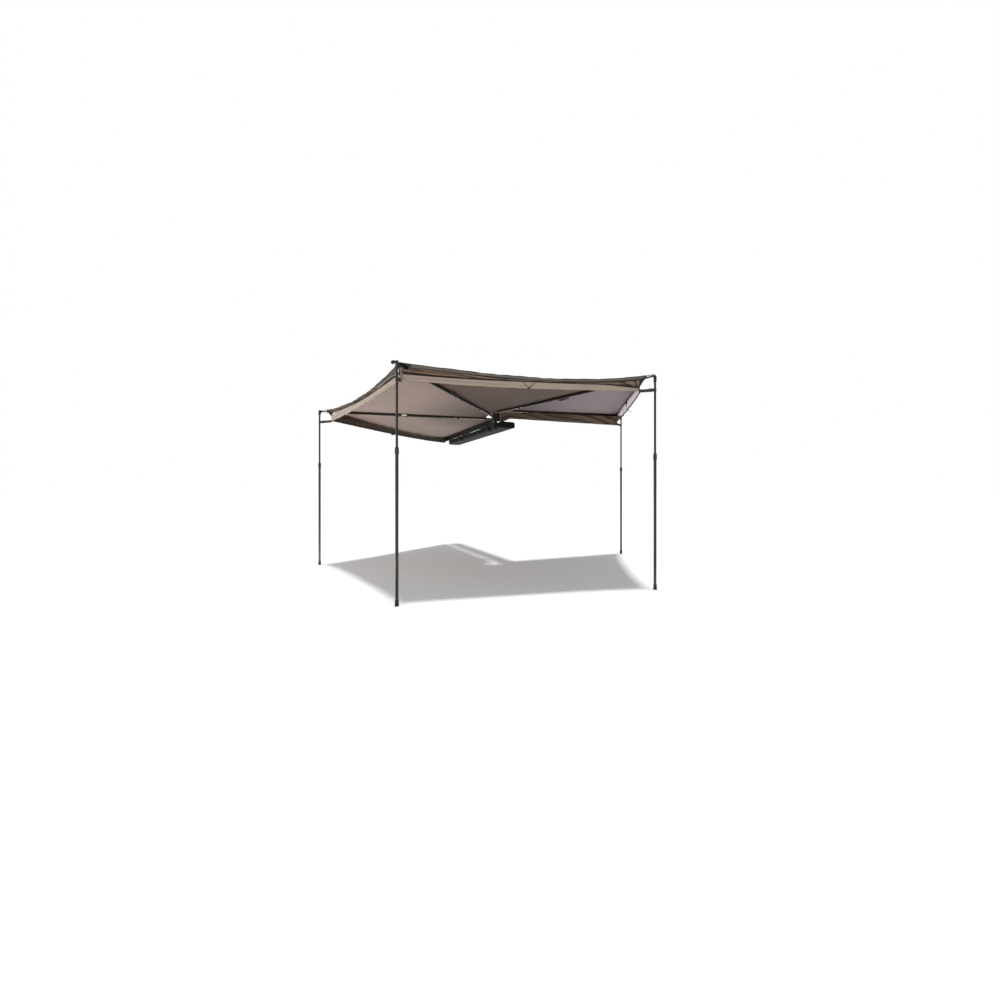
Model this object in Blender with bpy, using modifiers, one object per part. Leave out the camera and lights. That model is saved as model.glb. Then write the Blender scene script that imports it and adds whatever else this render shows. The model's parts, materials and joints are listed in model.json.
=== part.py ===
# A compact 270 degree fan awning for the left side of a vehicle, shown pitched.
#
# A base rail runs forward along the roof rack. A hub bracket at its rear end holds
# a vertical king pin, on which four rafters swing out like the ribs of a fan. Each
# rafter carries one folding, telescoping leg at its tip. Four canopy panels span
# rail-A, A-B, B-C and C-D, and each ends in a scalloped hem with a hanging skirt.
#
# Units are metres. +Z is up, +Y is the vehicle's forward direction and +X points
# across the roof, to the vehicle's right. The origin is on the underside of the
# rear rack bracket, where it rests on the rack's crossbar.

import math

import bmesh
import bpy
import numpy as np
from mathutils import Matrix, Vector

# Clearance between pieces that touch on the real object, and round a plug in a tube
GAP = 0.0003
PLUG_GAP = 0.0005

# Place of the hub axis, and the level of the ground under the legs
HUB_X = -0.070
HUB_Y = -0.340
GROUND_Z = -1.625

# The fan: the rail points at 90 degrees, and the rafters follow at equal steps
SIDES = ("a", "b", "c", "d")
RAIL_AZIMUTH = 90.0
FAN_STEP = 67.5
ROOT_A_Z = 0.108
LEVEL_PITCH = 0.035
RAFTER_SLOPE = 0.041

# Leg pivots sit 35 mm further in on each next rafter, so that folded legs nest
PIVOT_RADIUS_A = 2.0525
PIVOT_STEP = 0.035
FOLD_DEGREES = 86.8

# Rafter tube
RAFTER_WIDTH = 0.016
RAFTER_HEIGHT = 0.028
RAFTER_WALL = 0.0016
RAFTER_CORNER = 0.003
TUBE_START = 0.030
TIP_REACH = 0.0891

# Hub
BARREL_RADIUS = 0.017
BARREL_HEIGHT = 0.0344
KING_PIN_RADIUS = 0.006
BUSH_RADIUS = 0.0085
EAR_GAP = 0.0006
PLATE = 0.004
FLANGE_LOW_X = 0.074
FLANGE_HIGH_X = 0.114
FLANGE_STEP_Z = 0.096

# Legs
LEG_OFFSET = 0.026
UPPER_RADIUS = 0.0095
UPPER_WALL = 0.0015
UPPER_LENGTH = 0.800
LOWER_RADIUS = 0.0125
LOWER_WALL = 0.0025
LOWER_TOP = 1.170
COLLAR_BOTTOM = 1.150
COLLAR_TOP = 1.205
GRIP_RADIUS = 0.0160
FOOT_HEIGHT = 0.048
FOOT_FLOOR = 0.0055

# Leg clips: distance from the hub axis on each side, clear of the twist collars of the folded legs
CLIP_RADII = (1.075, 1.070, 1.000, 0.970)
CLIP_LENGTH = 0.110
CLIP_HOOK = 0.014
CLIP_INNER = 0.0131
CLIP_OUTER = 0.0154

# Leg pivot
ARM_WIDTH = 0.010
ARM_HEIGHT = 0.013
EYE_RADIUS = 0.012
STUD_RADIUS = 0.0032

# Base rail, seen from the hub axis
RAIL_X = 0.0228
RAIL_WIDTH = 0.022
RAIL_BOTTOM = 0.065
RAIL_HEIGHT = 0.060
RAIL_START = 0.055
RAIL_END = 2.090
RAIL_WALL = 0.0022

# Storage bag, seen from the hub axis
BAG_X = 0.182
BAG_HALF = 0.103
BAG_BOTTOM = 0.016
BAG_HEIGHT = 0.074
BAG_CORNER = 0.020
BAG_WALL = 0.003
BAG_MOUTH = 0.130

# Canopy
CLOTH = 0.0015
CANOPY_RISE = 0.0165
CANOPY_START = 0.090
CORNER_GAP = 0.072
LOW_CORNER_GAP = 0.135
RAIL_CORNER = 2.060
RAIL_EDGE_X = 0.0195
RAIL_EDGE_Z = 0.130
HEM_SCALLOP = 0.050
HEM_SAG = 0.050
SKIRT_DROP = 0.113
SKIRT_SAG = 0.022
STRAP_DROP = 0.130
SKIRT_BASE_Z = 0.040
FOLD_DEPTH = 0.007
SEAM_GAP = 0.001
ARM_CLEARANCE = 0.0095
FLAP_LATERAL = 0.0465
FLAP_WAVE = 0.0035
FLAP_FALL = 0.007
FLAP_END = 1.860
PANEL_ROWS = 9
SKIRT_ROWS = 8
PANEL_COLUMNS = 16

TILT = math.atan(RAFTER_SLOPE)
DROOP = math.radians(90.0 - FOLD_DEGREES) - TILT

COLLECTION = "side_awning"
GUIDES = "cutters"


def clear_scene():
    """Remove every object, so that the script can be run again."""
    for item in list(bpy.data.objects):
        bpy.data.objects.remove(item, do_unlink=True)
    for name in (COLLECTION, GUIDES):
        group = bpy.data.collections.new(name)
        bpy.context.scene.collection.children.link(group)
        GROUPS[name] = group


def finish(name, colour, roughness, metallic=0.0):
    """A Principled material of one colour."""
    material = bpy.data.materials.new(name)
    material.use_nodes = True
    shader = material.node_tree.nodes["Principled BSDF"]
    shader.inputs["Base Color"].default_value = (*colour, 1.0)
    shader.inputs["Roughness"].default_value = roughness
    shader.inputs["Metallic"].default_value = metallic
    return material


def frame(name, place, turn=(0.0, 0.0, 0.0), parent=None):
    """An empty that carries pieces and marks a joint's axis."""
    empty = bpy.data.objects.new(name, None)
    empty.location = place
    empty.rotation_euler = turn
    empty.parent = parent
    GROUPS[COLLECTION].objects.link(empty)
    return empty


def place_mesh(name, bm, parent, material=None, guide=False):
    """Turn a bmesh into an object under its parent, smooth with sharp corners."""
    mesh = bpy.data.meshes.new(name)
    bm.to_mesh(mesh)
    bm.free()
    mesh.shade_smooth()
    mesh.set_sharp_from_angle(angle=math.radians(35.0))
    item = bpy.data.objects.new(name, mesh)
    item.parent = parent
    if material is not None:
        mesh.materials.append(material)
    GROUPS[GUIDES if guide else COLLECTION].objects.link(item)
    if guide:
        item.hide_render = True
        item.display_type = "WIRE"
    return item


def add_box(bm, low, high, turn=None):
    """A box between two corners, turned about the frame's origin if asked."""
    low = Vector(low)
    high = Vector(high)
    matrix = Matrix.Translation((low + high) / 2) @ Matrix.Diagonal((*(high - low), 1.0))
    if turn is not None:
        matrix = turn @ matrix
    bmesh.ops.create_cube(bm, size=1.0, matrix=matrix)


def axis_turn(axis):
    """The turn that lays a cylinder's own Z along a named axis."""
    if axis == "X":
        return Matrix.Rotation(math.pi / 2, 4, "Y")
    if axis == "Y":
        return Matrix.Rotation(-math.pi / 2, 4, "X")
    return Matrix.Identity(4)


def add_cylinder(bm, radius, start, length, axis="Z", sides=20):
    """A capped cylinder that starts at a point and runs along an axis."""
    matrix = Matrix.Translation(start) @ axis_turn(axis) @ Matrix.Translation((0, 0, length / 2))
    bmesh.ops.create_cone(bm, cap_ends=True, segments=sides, radius1=radius, radius2=radius,
                          depth=length, matrix=matrix)


def box_guide(name, parent, low, high, turn=None):
    """A box that another piece is joined with or cut by."""
    bm = bmesh.new()
    add_box(bm, low, high, turn)
    return place_mesh(name, bm, parent, guide=True)


def round_guide(name, parent, radius, start, length, axis="Z", sides=20):
    """A cylinder that another piece is joined with or cut by."""
    bm = bmesh.new()
    add_cylinder(bm, radius, start, length, axis, sides)
    return place_mesh(name, bm, parent, guide=True)


def combine(piece, guide, operation):
    """Join a piece with a guide, or cut it by one."""
    boolean = piece.modifiers.new(guide.name, "BOOLEAN")
    boolean.operation = operation
    boolean.solver = "EXACT"
    boolean.object = guide


def rounded_rectangle(width, height, radius, steps=3):
    """Corners of a rectangle about the origin, each an arc of a few points."""
    points = []
    for corner in range(4):
        sign_x = 1 if corner in (0, 3) else -1
        sign_y = 1 if corner in (0, 1) else -1
        centre = (sign_x * (width / 2 - radius), sign_y * (height / 2 - radius))
        for step in range(steps + 1):
            angle = math.pi / 2 * (corner + step / steps)
            points.append((centre[0] + radius * math.cos(angle), centre[1] + radius * math.sin(angle)))
    return points


def outline_mesh(name, outlines, thickness):
    """A flat outline with its holes, given thickness along its own Z and welded."""
    curve = bpy.data.curves.new(name, "CURVE")
    curve.dimensions = "2D"
    curve.fill_mode = "BOTH"
    curve.extrude = thickness / 2
    for points in outlines:
        spline = curve.splines.new("POLY")
        spline.points.add(len(points) - 1)
        for point, (x, y) in zip(spline.points, points):
            point.co = (x, y, 0.0, 1.0)
        spline.use_cyclic_u = True
    holder = bpy.data.objects.new(name, curve)
    bpy.context.scene.collection.objects.link(holder)
    graph = bpy.context.evaluated_depsgraph_get()
    mesh = bpy.data.meshes.new_from_object(holder.evaluated_get(graph))
    bpy.data.objects.remove(holder, do_unlink=True)
    bm = bmesh.new()
    bm.from_mesh(mesh)
    bpy.data.meshes.remove(mesh)
    bmesh.ops.remove_doubles(bm, verts=bm.verts, dist=0.00001)
    return bm


def turned(name, profile, parent, material, steps=20, shift=(0.0, 0.0, 0.0), closed=False):
    """A profile of radius and height, turned about a vertical line."""
    bm = bmesh.new()
    points = [bm.verts.new((radius, 0.0, height)) for radius, height in profile]
    for first, second in zip(points, points[1:]):
        bm.edges.new((first, second))
    if closed:
        bm.edges.new((points[-1], points[0]))
    item = place_mesh(name, bm, parent, material)
    item.location = shift
    screw = item.modifiers.new("turn", "SCREW")
    screw.axis = "Z"
    screw.angle = 2 * math.pi
    screw.steps = steps
    screw.render_steps = steps
    screw.use_merge_vertices = True
    screw.merge_threshold = 0.00001
    screw.use_smooth_shade = True
    return item


def tube_profile(outer, inner, low, high):
    """The four corners of a tube's wall, down the outside and up the inside."""
    return [(outer, high), (outer, low), (inner, low), (inner, high)]


def azimuth(index):
    """Direction of rafter 1 to 4, or of the rail for 0, in radians."""
    return math.radians(RAIL_AZIMUTH + FAN_STEP * index)


def root_height(index):
    """Height of a rafter's centre line at the hub axis."""
    return ROOT_A_Z + LEVEL_PITCH * (index - 1)


def pivot_radius(index):
    """Distance from the hub axis to a rafter's leg pivot."""
    return PIVOT_RADIUS_A - PIVOT_STEP * (index - 1)


def pivot_height(index):
    """Height of a rafter's leg pivot."""
    return root_height(index) + RAFTER_SLOPE * pivot_radius(index)


def tube_end(index):
    """Where a rafter's tube ends, along its slope from the hub axis."""
    return pivot_radius(index) / math.cos(TILT) - TIP_REACH


def fan_point(index, radius, lateral, height):
    """A world point beside a rafter's line, positive lateral being anticlockwise."""
    angle = azimuth(index)
    x = HUB_X + radius * math.cos(angle) - lateral * math.sin(angle)
    y = HUB_Y + radius * math.sin(angle) + lateral * math.cos(angle)
    return np.array((x, y, height))


def make_base_rail(parent, alloy, plastic):
    """The hollow rail along the vehicle, with a plug in its front end."""
    outer = rounded_rectangle(RAIL_WIDTH, RAIL_HEIGHT, 0.003)
    inner = rounded_rectangle(RAIL_WIDTH - 2 * RAIL_WALL, RAIL_HEIGHT - 2 * RAIL_WALL, 0.001)
    length = RAIL_END - RAIL_START
    centre_x = RAIL_X + RAIL_WIDTH / 2
    centre_z = RAIL_BOTTOM + RAIL_HEIGHT / 2
    rail = place_mesh("base_rail", outline_mesh("base_rail", (outer, inner), length), parent, alloy)
    rail.location = (centre_x, (RAIL_START + RAIL_END) / 2, centre_z)
    rail.rotation_euler = (math.pi / 2, 0.0, 0.0)
    cap_length = 0.006
    cap = place_mesh("rail_end_cap", outline_mesh("rail_end_cap", (outer,), cap_length), parent, plastic)
    cap.location = (centre_x, RAIL_END + GAP + cap_length / 2, centre_z)
    cap.rotation_euler = (math.pi / 2, 0.0, 0.0)
    plug_half_x = RAIL_WIDTH / 2 - RAIL_WALL - PLUG_GAP
    plug_half_z = RAIL_HEIGHT / 2 - RAIL_WALL - PLUG_GAP
    plug = box_guide("rail_end_plug", parent, (centre_x - plug_half_x, RAIL_END - 0.020, centre_z - plug_half_z),
                     (centre_x + plug_half_x, RAIL_END + GAP + 0.003, centre_z + plug_half_z))
    combine(cap, plug, "UNION")


def ear_outline(post_x, post_low, post_high):
    """A round end about the king pin that widens to the post beside it."""
    start = math.radians(60.0)
    sweep = math.radians(270.0)
    points = []
    for step in range(17):
        angle = start + sweep * step / 16
        points.append((BARREL_RADIUS * math.cos(angle), BARREL_RADIUS * math.sin(angle)))
    points.append((post_x, post_low))
    points.append((post_x, post_high))
    return points


def make_hub(parent, steel, bright, nylon):
    """Side plate with two ears and a rear flange, the king pin through the ears and its bush."""
    plate_x = RAIL_X - GAP - PLATE
    low_ear = root_height(1) - BARREL_HEIGHT / 2 - EAR_GAP - PLATE
    high_ear = root_height(4) + BARREL_HEIGHT / 2 + EAR_GAP
    top = high_ear + PLATE
    post_low = 0.022
    post_high = 0.050
    profile = [(post_low, 0.002), (0.100, 0.002), (0.140, RAIL_BOTTOM), (0.140, 0.1245),
               (0.062, 0.1245), (post_high, 0.142), (post_high, top), (post_low, top)]
    bracket = place_mesh("hub_bracket", outline_mesh("hub_bracket", (profile,), PLATE), parent, steel)
    bracket.location = (plate_x + PLATE / 2, 0.0, 0.0)
    bracket.rotation_euler = (math.pi / 2, 0.0, math.pi / 2)
    for label, level in (("low", low_ear), ("high", high_ear)):
        outline = ear_outline(plate_x + PLATE / 2, post_low + 0.001, post_high - 0.001)
        ear = place_mesh(f"ear_{label}", outline_mesh("ear", (outline,), PLATE - 0.0002), parent, guide=True)
        ear.location = (0.0, 0.0, level + PLATE / 2)
        combine(bracket, ear, "UNION")
    root_x = plate_x + PLATE / 2
    crown = top - 0.0004
    shape = [(root_x, 0.0024), (FLANGE_LOW_X, 0.0024), (FLANGE_LOW_X, FLANGE_STEP_Z),
             (FLANGE_HIGH_X, FLANGE_STEP_Z), (FLANGE_HIGH_X, crown - 0.012), (FLANGE_HIGH_X - 0.012, crown),
             (root_x, crown)]
    flange = place_mesh("hub_flange", outline_mesh("hub_flange", (shape,), PLATE - 0.0002), parent, guide=True)
    flange.location = (0.0, post_high - 0.0004 - PLATE / 2, 0.0)
    flange.rotation_euler = (math.pi / 2, 0.0, 0.0)
    combine(bracket, flange, "UNION")
    bore = round_guide("king_pin_bore", parent, KING_PIN_RADIUS + GAP, (0, 0, low_ear - 0.01), 0.2)
    combine(bracket, bore, "DIFFERENCE")

    head = 0.0105
    pin = [(0.0, top + 0.0135), (0.006, top + 0.0135), (head, top + 0.010), (head, top + GAP),
           (KING_PIN_RADIUS, top + GAP), (KING_PIN_RADIUS, low_ear - GAP), (head, low_ear - GAP),
           (head, low_ear - 0.008), (0.0, low_ear - 0.008)]
    turned("king_pin", pin, parent, bright)
    sleeve = tube_profile(BUSH_RADIUS, KING_PIN_RADIUS + GAP, low_ear + PLATE + GAP, high_ear - GAP)
    turned("king_pin_bush", sleeve, parent, nylon, closed=True)


def make_rack_brackets(parent, steel, bright):
    """Two angle brackets from the rail's inner face to the rack's crossbars."""
    face = RAIL_X + RAIL_WIDTH + GAP
    half = 0.025
    reach = 0.090
    slot_x = 0.105
    for label, forward in (("rear", -HUB_Y), ("front", 1.450)):
        bm = bmesh.new()
        add_box(bm, (face, forward - half, 0.0), (face + PLATE, forward + half, 0.112))
        bracket = place_mesh(f"rack_bracket_{label}", bm, parent, steel)
        foot = box_guide(f"rack_foot_{label}", parent, (face + 0.001, forward - half, 0.0),
                         (face + reach, forward + half, PLATE))
        combine(bracket, foot, "UNION")
        slot = [(x + slot_x, y + forward) for x, y in rounded_rectangle(0.030, 0.009, 0.0044)]
        cutter = place_mesh(f"rack_slot_{label}", outline_mesh("slot", (slot,), 0.03), parent, guide=True)
        combine(bracket, cutter, "DIFFERENCE")
        bolt = bmesh.new()
        add_cylinder(bolt, 0.0075, (face + PLATE + GAP, forward, 0.092), 0.006, "X", 6)
        place_mesh(f"rack_bolt_{label}", bolt, parent, bright)


def bag_loft(inset):
    """A long rounded bar in the bag's outline, set in from it by a wall's thickness."""
    stations = ((-0.020 + inset, 0.92), (0.010, 1.0), (0.700, 0.97), (1.300, 1.0), (2.030, 0.98),
                (2.060 - inset, 0.90))
    bm = bmesh.new()
    rings = []
    for forward, swell in stations:
        width = 2 * BAG_HALF * swell - 2 * inset
        height = BAG_HEIGHT * swell - 2 * inset
        middle = BAG_BOTTOM + BAG_HEIGHT * swell / 2
        outline = rounded_rectangle(width, height, BAG_CORNER * swell - inset)
        rings.append([bm.verts.new((BAG_X + x, forward, middle + z)) for x, z in outline])
    for near, far in zip(rings, rings[1:]):
        count = len(near)
        for index in range(count):
            after = (index + 1) % count
            bm.faces.new((near[index], near[after], far[after], far[index]))
    bm.faces.new(rings[0][::-1])
    bm.faces.new(rings[-1])
    bmesh.ops.recalc_face_normals(bm, faces=bm.faces)
    return bm


def make_bag(parent, vinyl):
    """The opened storage bag beside the rail, with two straps that pass under it."""
    bag = place_mesh("storage_bag", bag_loft(0.0), parent, vinyl)
    cavity = place_mesh("bag_cavity", bag_loft(BAG_WALL), parent, guide=True)
    mouth = box_guide("bag_mouth", parent, (BAG_X - BAG_MOUTH / 2, 0.050, BAG_BOTTOM + BAG_HEIGHT / 2),
                      (BAG_X + BAG_MOUTH / 2, 1.990, BAG_BOTTOM + BAG_HEIGHT + 0.01))
    combine(bag, cavity, "DIFFERENCE")
    combine(bag, mouth, "DIFFERENCE")

    tail_x = RAIL_X - 0.0030
    half = 0.0125
    under = RAIL_BOTTOM - 0.003
    for label, forward in (("rear", 0.934), ("front", 1.783)):
        web = box_guide(f"strap_run_{label}", parent, (tail_x, forward - half, under - 0.0022),
                        (BAG_X - BAG_HALF + BAG_WALL + 0.001, forward + half, under))
        tail = box_guide(f"strap_tail_{label}", parent, (tail_x - 0.0001, forward - half + 0.0001, -0.018),
                         (tail_x + 0.0022, forward + half - 0.0001, under - 0.0001))
        combine(bag, web, "UNION")
        combine(bag, tail, "UNION")


def make_knuckle(side, hinge, cast):
    """The hinge barrel round the king pin, with a tongue that fills the tube's end."""
    bm = bmesh.new()
    add_cylinder(bm, BARREL_RADIUS, (0, 0, -BARREL_HEIGHT / 2), BARREL_HEIGHT)
    knuckle = place_mesh(f"hinge_knuckle_{side}", bm, hinge, cast)
    half_y = RAFTER_WIDTH / 2 - RAFTER_WALL - PLUG_GAP
    half_z = RAFTER_HEIGHT / 2 - RAFTER_WALL - PLUG_GAP
    tilt = Matrix.Rotation(-TILT, 4, "Y")
    tongue = box_guide(f"tongue_{side}", hinge, (0.005, -half_y, -half_z), (0.080, half_y, half_z), tilt)
    combine(knuckle, tongue, "UNION")
    bore = round_guide(f"barrel_bore_{side}", hinge, BUSH_RADIUS + GAP, (0, 0, -0.03), 0.06)
    combine(knuckle, bore, "DIFFERENCE")


def make_rafter(side, index, slope, alloy):
    """The rectangular rafter tube."""
    outer = rounded_rectangle(RAFTER_WIDTH, RAFTER_HEIGHT, RAFTER_CORNER)
    inner = rounded_rectangle(RAFTER_WIDTH - 2 * RAFTER_WALL, RAFTER_HEIGHT - 2 * RAFTER_WALL, 0.0010)
    end = tube_end(index)
    length = end - TUBE_START
    tube = place_mesh(f"rafter_{side}", outline_mesh("rafter", (outer, inner), length), slope, alloy)
    tube.location = ((TUBE_START + end) / 2, 0.0, 0.0)
    tube.rotation_euler = (math.pi / 2, 0.0, math.pi / 2)


def hook_outline(inner, outer, drop):
    """An upside-down U round the folded leg, open below."""
    points = [(outer, -drop)]
    for step in range(13):
        angle = math.pi * step / 12
        points.append((outer * math.cos(angle), outer * math.sin(angle)))
    points.append((-outer, -drop))
    points.append((-inner, -drop))
    for step in range(13):
        angle = math.pi * (1 - step / 12)
        points.append((inner * math.cos(angle), inner * math.sin(angle)))
    points.append((inner, -drop))
    return points


def make_clip(side, index, slope, plastic):
    """The leg clip beside the rafter: a plate with a hook at each end, both set to the folded leg's height."""
    eye = pivot_radius(index) / math.cos(TILT)
    centre = CLIP_RADII[index - 1] / math.cos(TILT)
    outline = hook_outline(CLIP_INNER, CLIP_OUTER, 0.008)
    plate_y = RAFTER_WIDTH / 2 + GAP
    half = CLIP_LENGTH / 2
    bm = bmesh.new()
    add_box(bm, (centre - half, plate_y, -0.012), (centre + half, plate_y + 0.003, 0.010))
    clip = place_mesh(f"leg_clip_{side}", bm, slope, plastic)
    for label, shift in (("inner", -1), ("outer", 1)):
        name = f"hook_{label}_{side}"
        arm = place_mesh(name, outline_mesh(name, (outline,), CLIP_HOOK), slope, guide=True)
        place = centre + shift * (CLIP_LENGTH - CLIP_HOOK) / 2
        arm.location = (place, LEG_OFFSET, -(eye - place) * math.tan(DROOP))
        arm.rotation_euler = (math.pi / 2, 0.0, math.pi / 2)
        combine(clip, arm, "UNION")


def make_tip(side, index, slope, cast):
    """The rafter's end fitting: plug, shoulder, slim arm and eye."""
    eye = pivot_radius(index) / math.cos(TILT)
    end = tube_end(index)
    half_y = RAFTER_WIDTH / 2 - RAFTER_WALL - PLUG_GAP
    half_z = RAFTER_HEIGHT / 2 - RAFTER_WALL - PLUG_GAP
    bm = bmesh.new()
    add_box(bm, (end + GAP, -RAFTER_WIDTH / 2, -RAFTER_HEIGHT / 2),
            (end + 0.007, RAFTER_WIDTH / 2, RAFTER_HEIGHT / 2))
    tip = place_mesh(f"rafter_tip_{side}", bm, slope, cast)
    plug = box_guide(f"tip_plug_{side}", slope, (end - 0.040, -half_y, -half_z),
                     (end + 0.004, half_y, half_z))
    arm = box_guide(f"tip_arm_{side}", slope, (end + 0.002, -ARM_WIDTH / 2 + 0.0002, -ARM_HEIGHT / 2),
                    (eye, ARM_WIDTH / 2 - 0.0002, ARM_HEIGHT / 2))
    boss = round_guide(f"tip_eye_{side}", slope, EYE_RADIUS, (eye, -ARM_WIDTH / 2, 0), ARM_WIDTH, "Y")
    bore = round_guide(f"tip_bore_{side}", slope, STUD_RADIUS + GAP, (eye, -0.02, 0), 0.04, "Y", 16)
    for guide, operation in ((plug, "UNION"), (arm, "UNION"), (boss, "UNION"), (bore, "DIFFERENCE")):
        combine(tip, guide, operation)


def make_knob(side, pivot, plastic):
    """The lobed clamp knob and its stud, on the leg's pivot line."""
    lobes = 6
    points = []
    for step in range(36):
        angle = 2 * math.pi * step / 36
        radius = 0.0136 + 0.0014 * math.cos(lobes * angle)
        points.append((radius * math.cos(angle), radius * math.sin(angle)))
    grip = 0.012
    face = -ARM_WIDTH / 2 - GAP
    knob = place_mesh(f"clamp_knob_{side}", outline_mesh("knob", (points,), grip), pivot, plastic)
    knob.rotation_euler = (math.pi / 2, 0.0, 0.0)
    knob.location = (0.0, face - 0.0035 - grip / 2, 0.0)
    boss = round_guide(f"knob_boss_{side}", pivot, 0.0085, (0, face - 0.006, 0), 0.006, "Y")
    stud = round_guide(f"knob_stud_{side}", pivot, STUD_RADIUS, (0, face - 0.002, 0), 0.030, "Y", 16)
    combine(knob, boss, "UNION")
    combine(knob, stud, "UNION")


def make_leg_top(side, pivot, plastic, alloy):
    """The pivoting head and the slim upper tube that it holds."""
    socket_top = -0.0080
    bm = bmesh.new()
    add_cylinder(bm, 0.0130, (0, LEG_OFFSET, -0.050), 0.0605)
    head = place_mesh(f"leg_head_{side}", bm, pivot, plastic)
    boss = round_guide(f"head_boss_{side}", pivot, 0.0100, (0, ARM_WIDTH / 2 + 0.001, 0), 0.020, "Y")
    socket = round_guide(f"head_socket_{side}", pivot, UPPER_RADIUS + GAP,
                         (0, LEG_OFFSET, -0.060), 0.060 + socket_top)
    bore = round_guide(f"head_bore_{side}", pivot, STUD_RADIUS + GAP, (0, 0.001, 0), 0.0245, "Y", 16)
    for guide, operation in ((boss, "UNION"), (socket, "DIFFERENCE"), (bore, "DIFFERENCE")):
        combine(head, guide, operation)
    top = socket_top - GAP
    wall = tube_profile(UPPER_RADIUS, UPPER_RADIUS - UPPER_WALL, top - UPPER_LENGTH, top)
    turned(f"leg_upper_{side}", wall, pivot, alloy, shift=(0.0, LEG_OFFSET, 0.0), closed=True)


def make_leg_bottom(side, foot, plastic, alloy, rubber):
    """The lower tube, its twist collar and its foot, measured up from the ground."""
    wall = tube_profile(LOWER_RADIUS, LOWER_RADIUS - LOWER_WALL, FOOT_FLOOR + GAP, LOWER_TOP)
    turned(f"leg_lower_{side}", wall, foot, alloy, closed=True)
    slim = UPPER_RADIUS + 0.0005
    seat = LOWER_RADIUS + GAP
    shoulder = LOWER_TOP + GAP
    collar = [(0.0125, COLLAR_TOP), (GRIP_RADIUS - 0.001, COLLAR_TOP - 0.006), (GRIP_RADIUS, COLLAR_TOP - 0.012),
              (GRIP_RADIUS, COLLAR_BOTTOM + 0.003), (GRIP_RADIUS - 0.0015, COLLAR_BOTTOM),
              (seat, COLLAR_BOTTOM), (seat, shoulder), (slim, shoulder), (slim, COLLAR_TOP)]
    turned(f"twist_collar_{side}", collar, foot, plastic, closed=True)
    sole = [(0.0, FOOT_FLOOR), (seat, FOOT_FLOOR), (seat, FOOT_HEIGHT), (0.0140, FOOT_HEIGHT),
            (0.0146, FOOT_HEIGHT - 0.003), (0.0146, 0.015), (GRIP_RADIUS, 0.010),
            (GRIP_RADIUS, 0.002), (GRIP_RADIUS - 0.002, 0.0), (0.0, 0.0)]
    turned(f"leg_foot_{side}", sole, foot, rubber)


def make_corner_strap(side, index, pivot, webbing):
    """The strap from the skirt's lower corner, looped round the leg."""
    height = 0.028
    middle = -STRAP_DROP
    inner = -LOW_CORNER_GAP - 0.002
    loop = UPPER_RADIUS + 0.0030
    run = Vector((-inner, LEG_OFFSET, 0.0))
    turn = Matrix.Translation((inner, 0.0, 0.0)) @ Matrix.Rotation(math.atan2(run.y, run.x), 4, "Z")
    bm = bmesh.new()
    add_box(bm, (0.0, -0.0015, middle - height / 2), (run.length, 0.0015, middle + height / 2), turn)
    strap = place_mesh(f"corner_strap_{side}", bm, pivot, webbing)
    ring = round_guide(f"strap_loop_{side}", pivot, loop, (0, LEG_OFFSET, middle - height / 2 + 0.0002),
                       height - 0.0004)
    bore = round_guide(f"strap_bore_{side}", pivot, UPPER_RADIUS + 0.0005, (0, LEG_OFFSET, middle - 0.03), 0.06)
    combine(strap, ring, "UNION")
    combine(strap, bore, "DIFFERENCE")


def edge_point(index, radius, lateral):
    """A point of the canopy's seam over a rafter, or along the rail for 0."""
    if index == 0:
        return np.array((HUB_X + RAIL_EDGE_X - lateral, HUB_Y + radius, RAIL_EDGE_Z))
    height = root_height(index) + RAFTER_SLOPE * radius + CANOPY_RISE
    return fan_point(index, radius, lateral, height)


def lower_corner(index, lateral):
    """The skirt's lower corner under the end of a seam."""
    if index == 0:
        return np.array((HUB_X + RAIL_EDGE_X - lateral, HUB_Y + RAIL_CORNER, SKIRT_BASE_Z))
    return fan_point(index, pivot_radius(index) - LOW_CORNER_GAP, lateral, pivot_height(index) - SKIRT_DROP)


def between(first, last, across):
    """Points from first to last, whose height eases away level from both ends."""
    points = first + (last - first) * across
    eased = across * across * (3 - 2 * across)
    points[:, 2:] = first[2] + (last[2] - first[2]) * eased
    return points


def canopy_grid(start):
    """Rows of points from the hub to the hem and on down the skirt."""
    end = start + 1
    corner = RAIL_CORNER if start == 0 else pivot_radius(start) - CORNER_GAP
    clear = SEAM_GAP if start == 0 else ARM_CLEARANCE
    near = (edge_point(start, CANOPY_START, SEAM_GAP), edge_point(end, CANOPY_START, -SEAM_GAP))
    far = (edge_point(start, corner, clear), edge_point(end, pivot_radius(end) - CORNER_GAP, -ARM_CLEARANCE))
    low = (lower_corner(start, clear), lower_corner(end, -ARM_CLEARANCE))
    hub = np.array((HUB_X, HUB_Y, 0.0))
    inward = hub - (far[0] + far[1]) / 2
    inward[2] = 0.0
    inward /= np.linalg.norm(inward)

    across = np.linspace(0.0, 1.0, PANEL_COLUMNS + 1)[:, None]
    belly = 4 * across * (1 - across)
    inner = between(near[0], near[1], across)
    hem = between(far[0], far[1], across) + inward * HEM_SCALLOP * belly
    bottom = between(low[0], low[1], across)
    bottom[:, 2:] -= SKIRT_SAG * belly
    down = np.array((0.0, 0.0, -1.0))

    rows = []
    for row in range(PANEL_ROWS + 1):
        along = row / PANEL_ROWS
        line = inner + (hem - inner) * along
        rows.append(line + down * HEM_SAG * belly * along ** 1.3)
    for row in range(1, SKIRT_ROWS + 1):
        along = row / SKIRT_ROWS
        line = rows[PANEL_ROWS] + (bottom - rows[PANEL_ROWS]) * along
        wave = np.sin(2 * math.pi * (2.25 * along + 0.3 * np.sin(3 * math.pi * across)))
        rows.append(line - inward * FOLD_DEPTH * wave * math.sin(math.pi * along) * np.sqrt(belly))
    return rows


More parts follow.
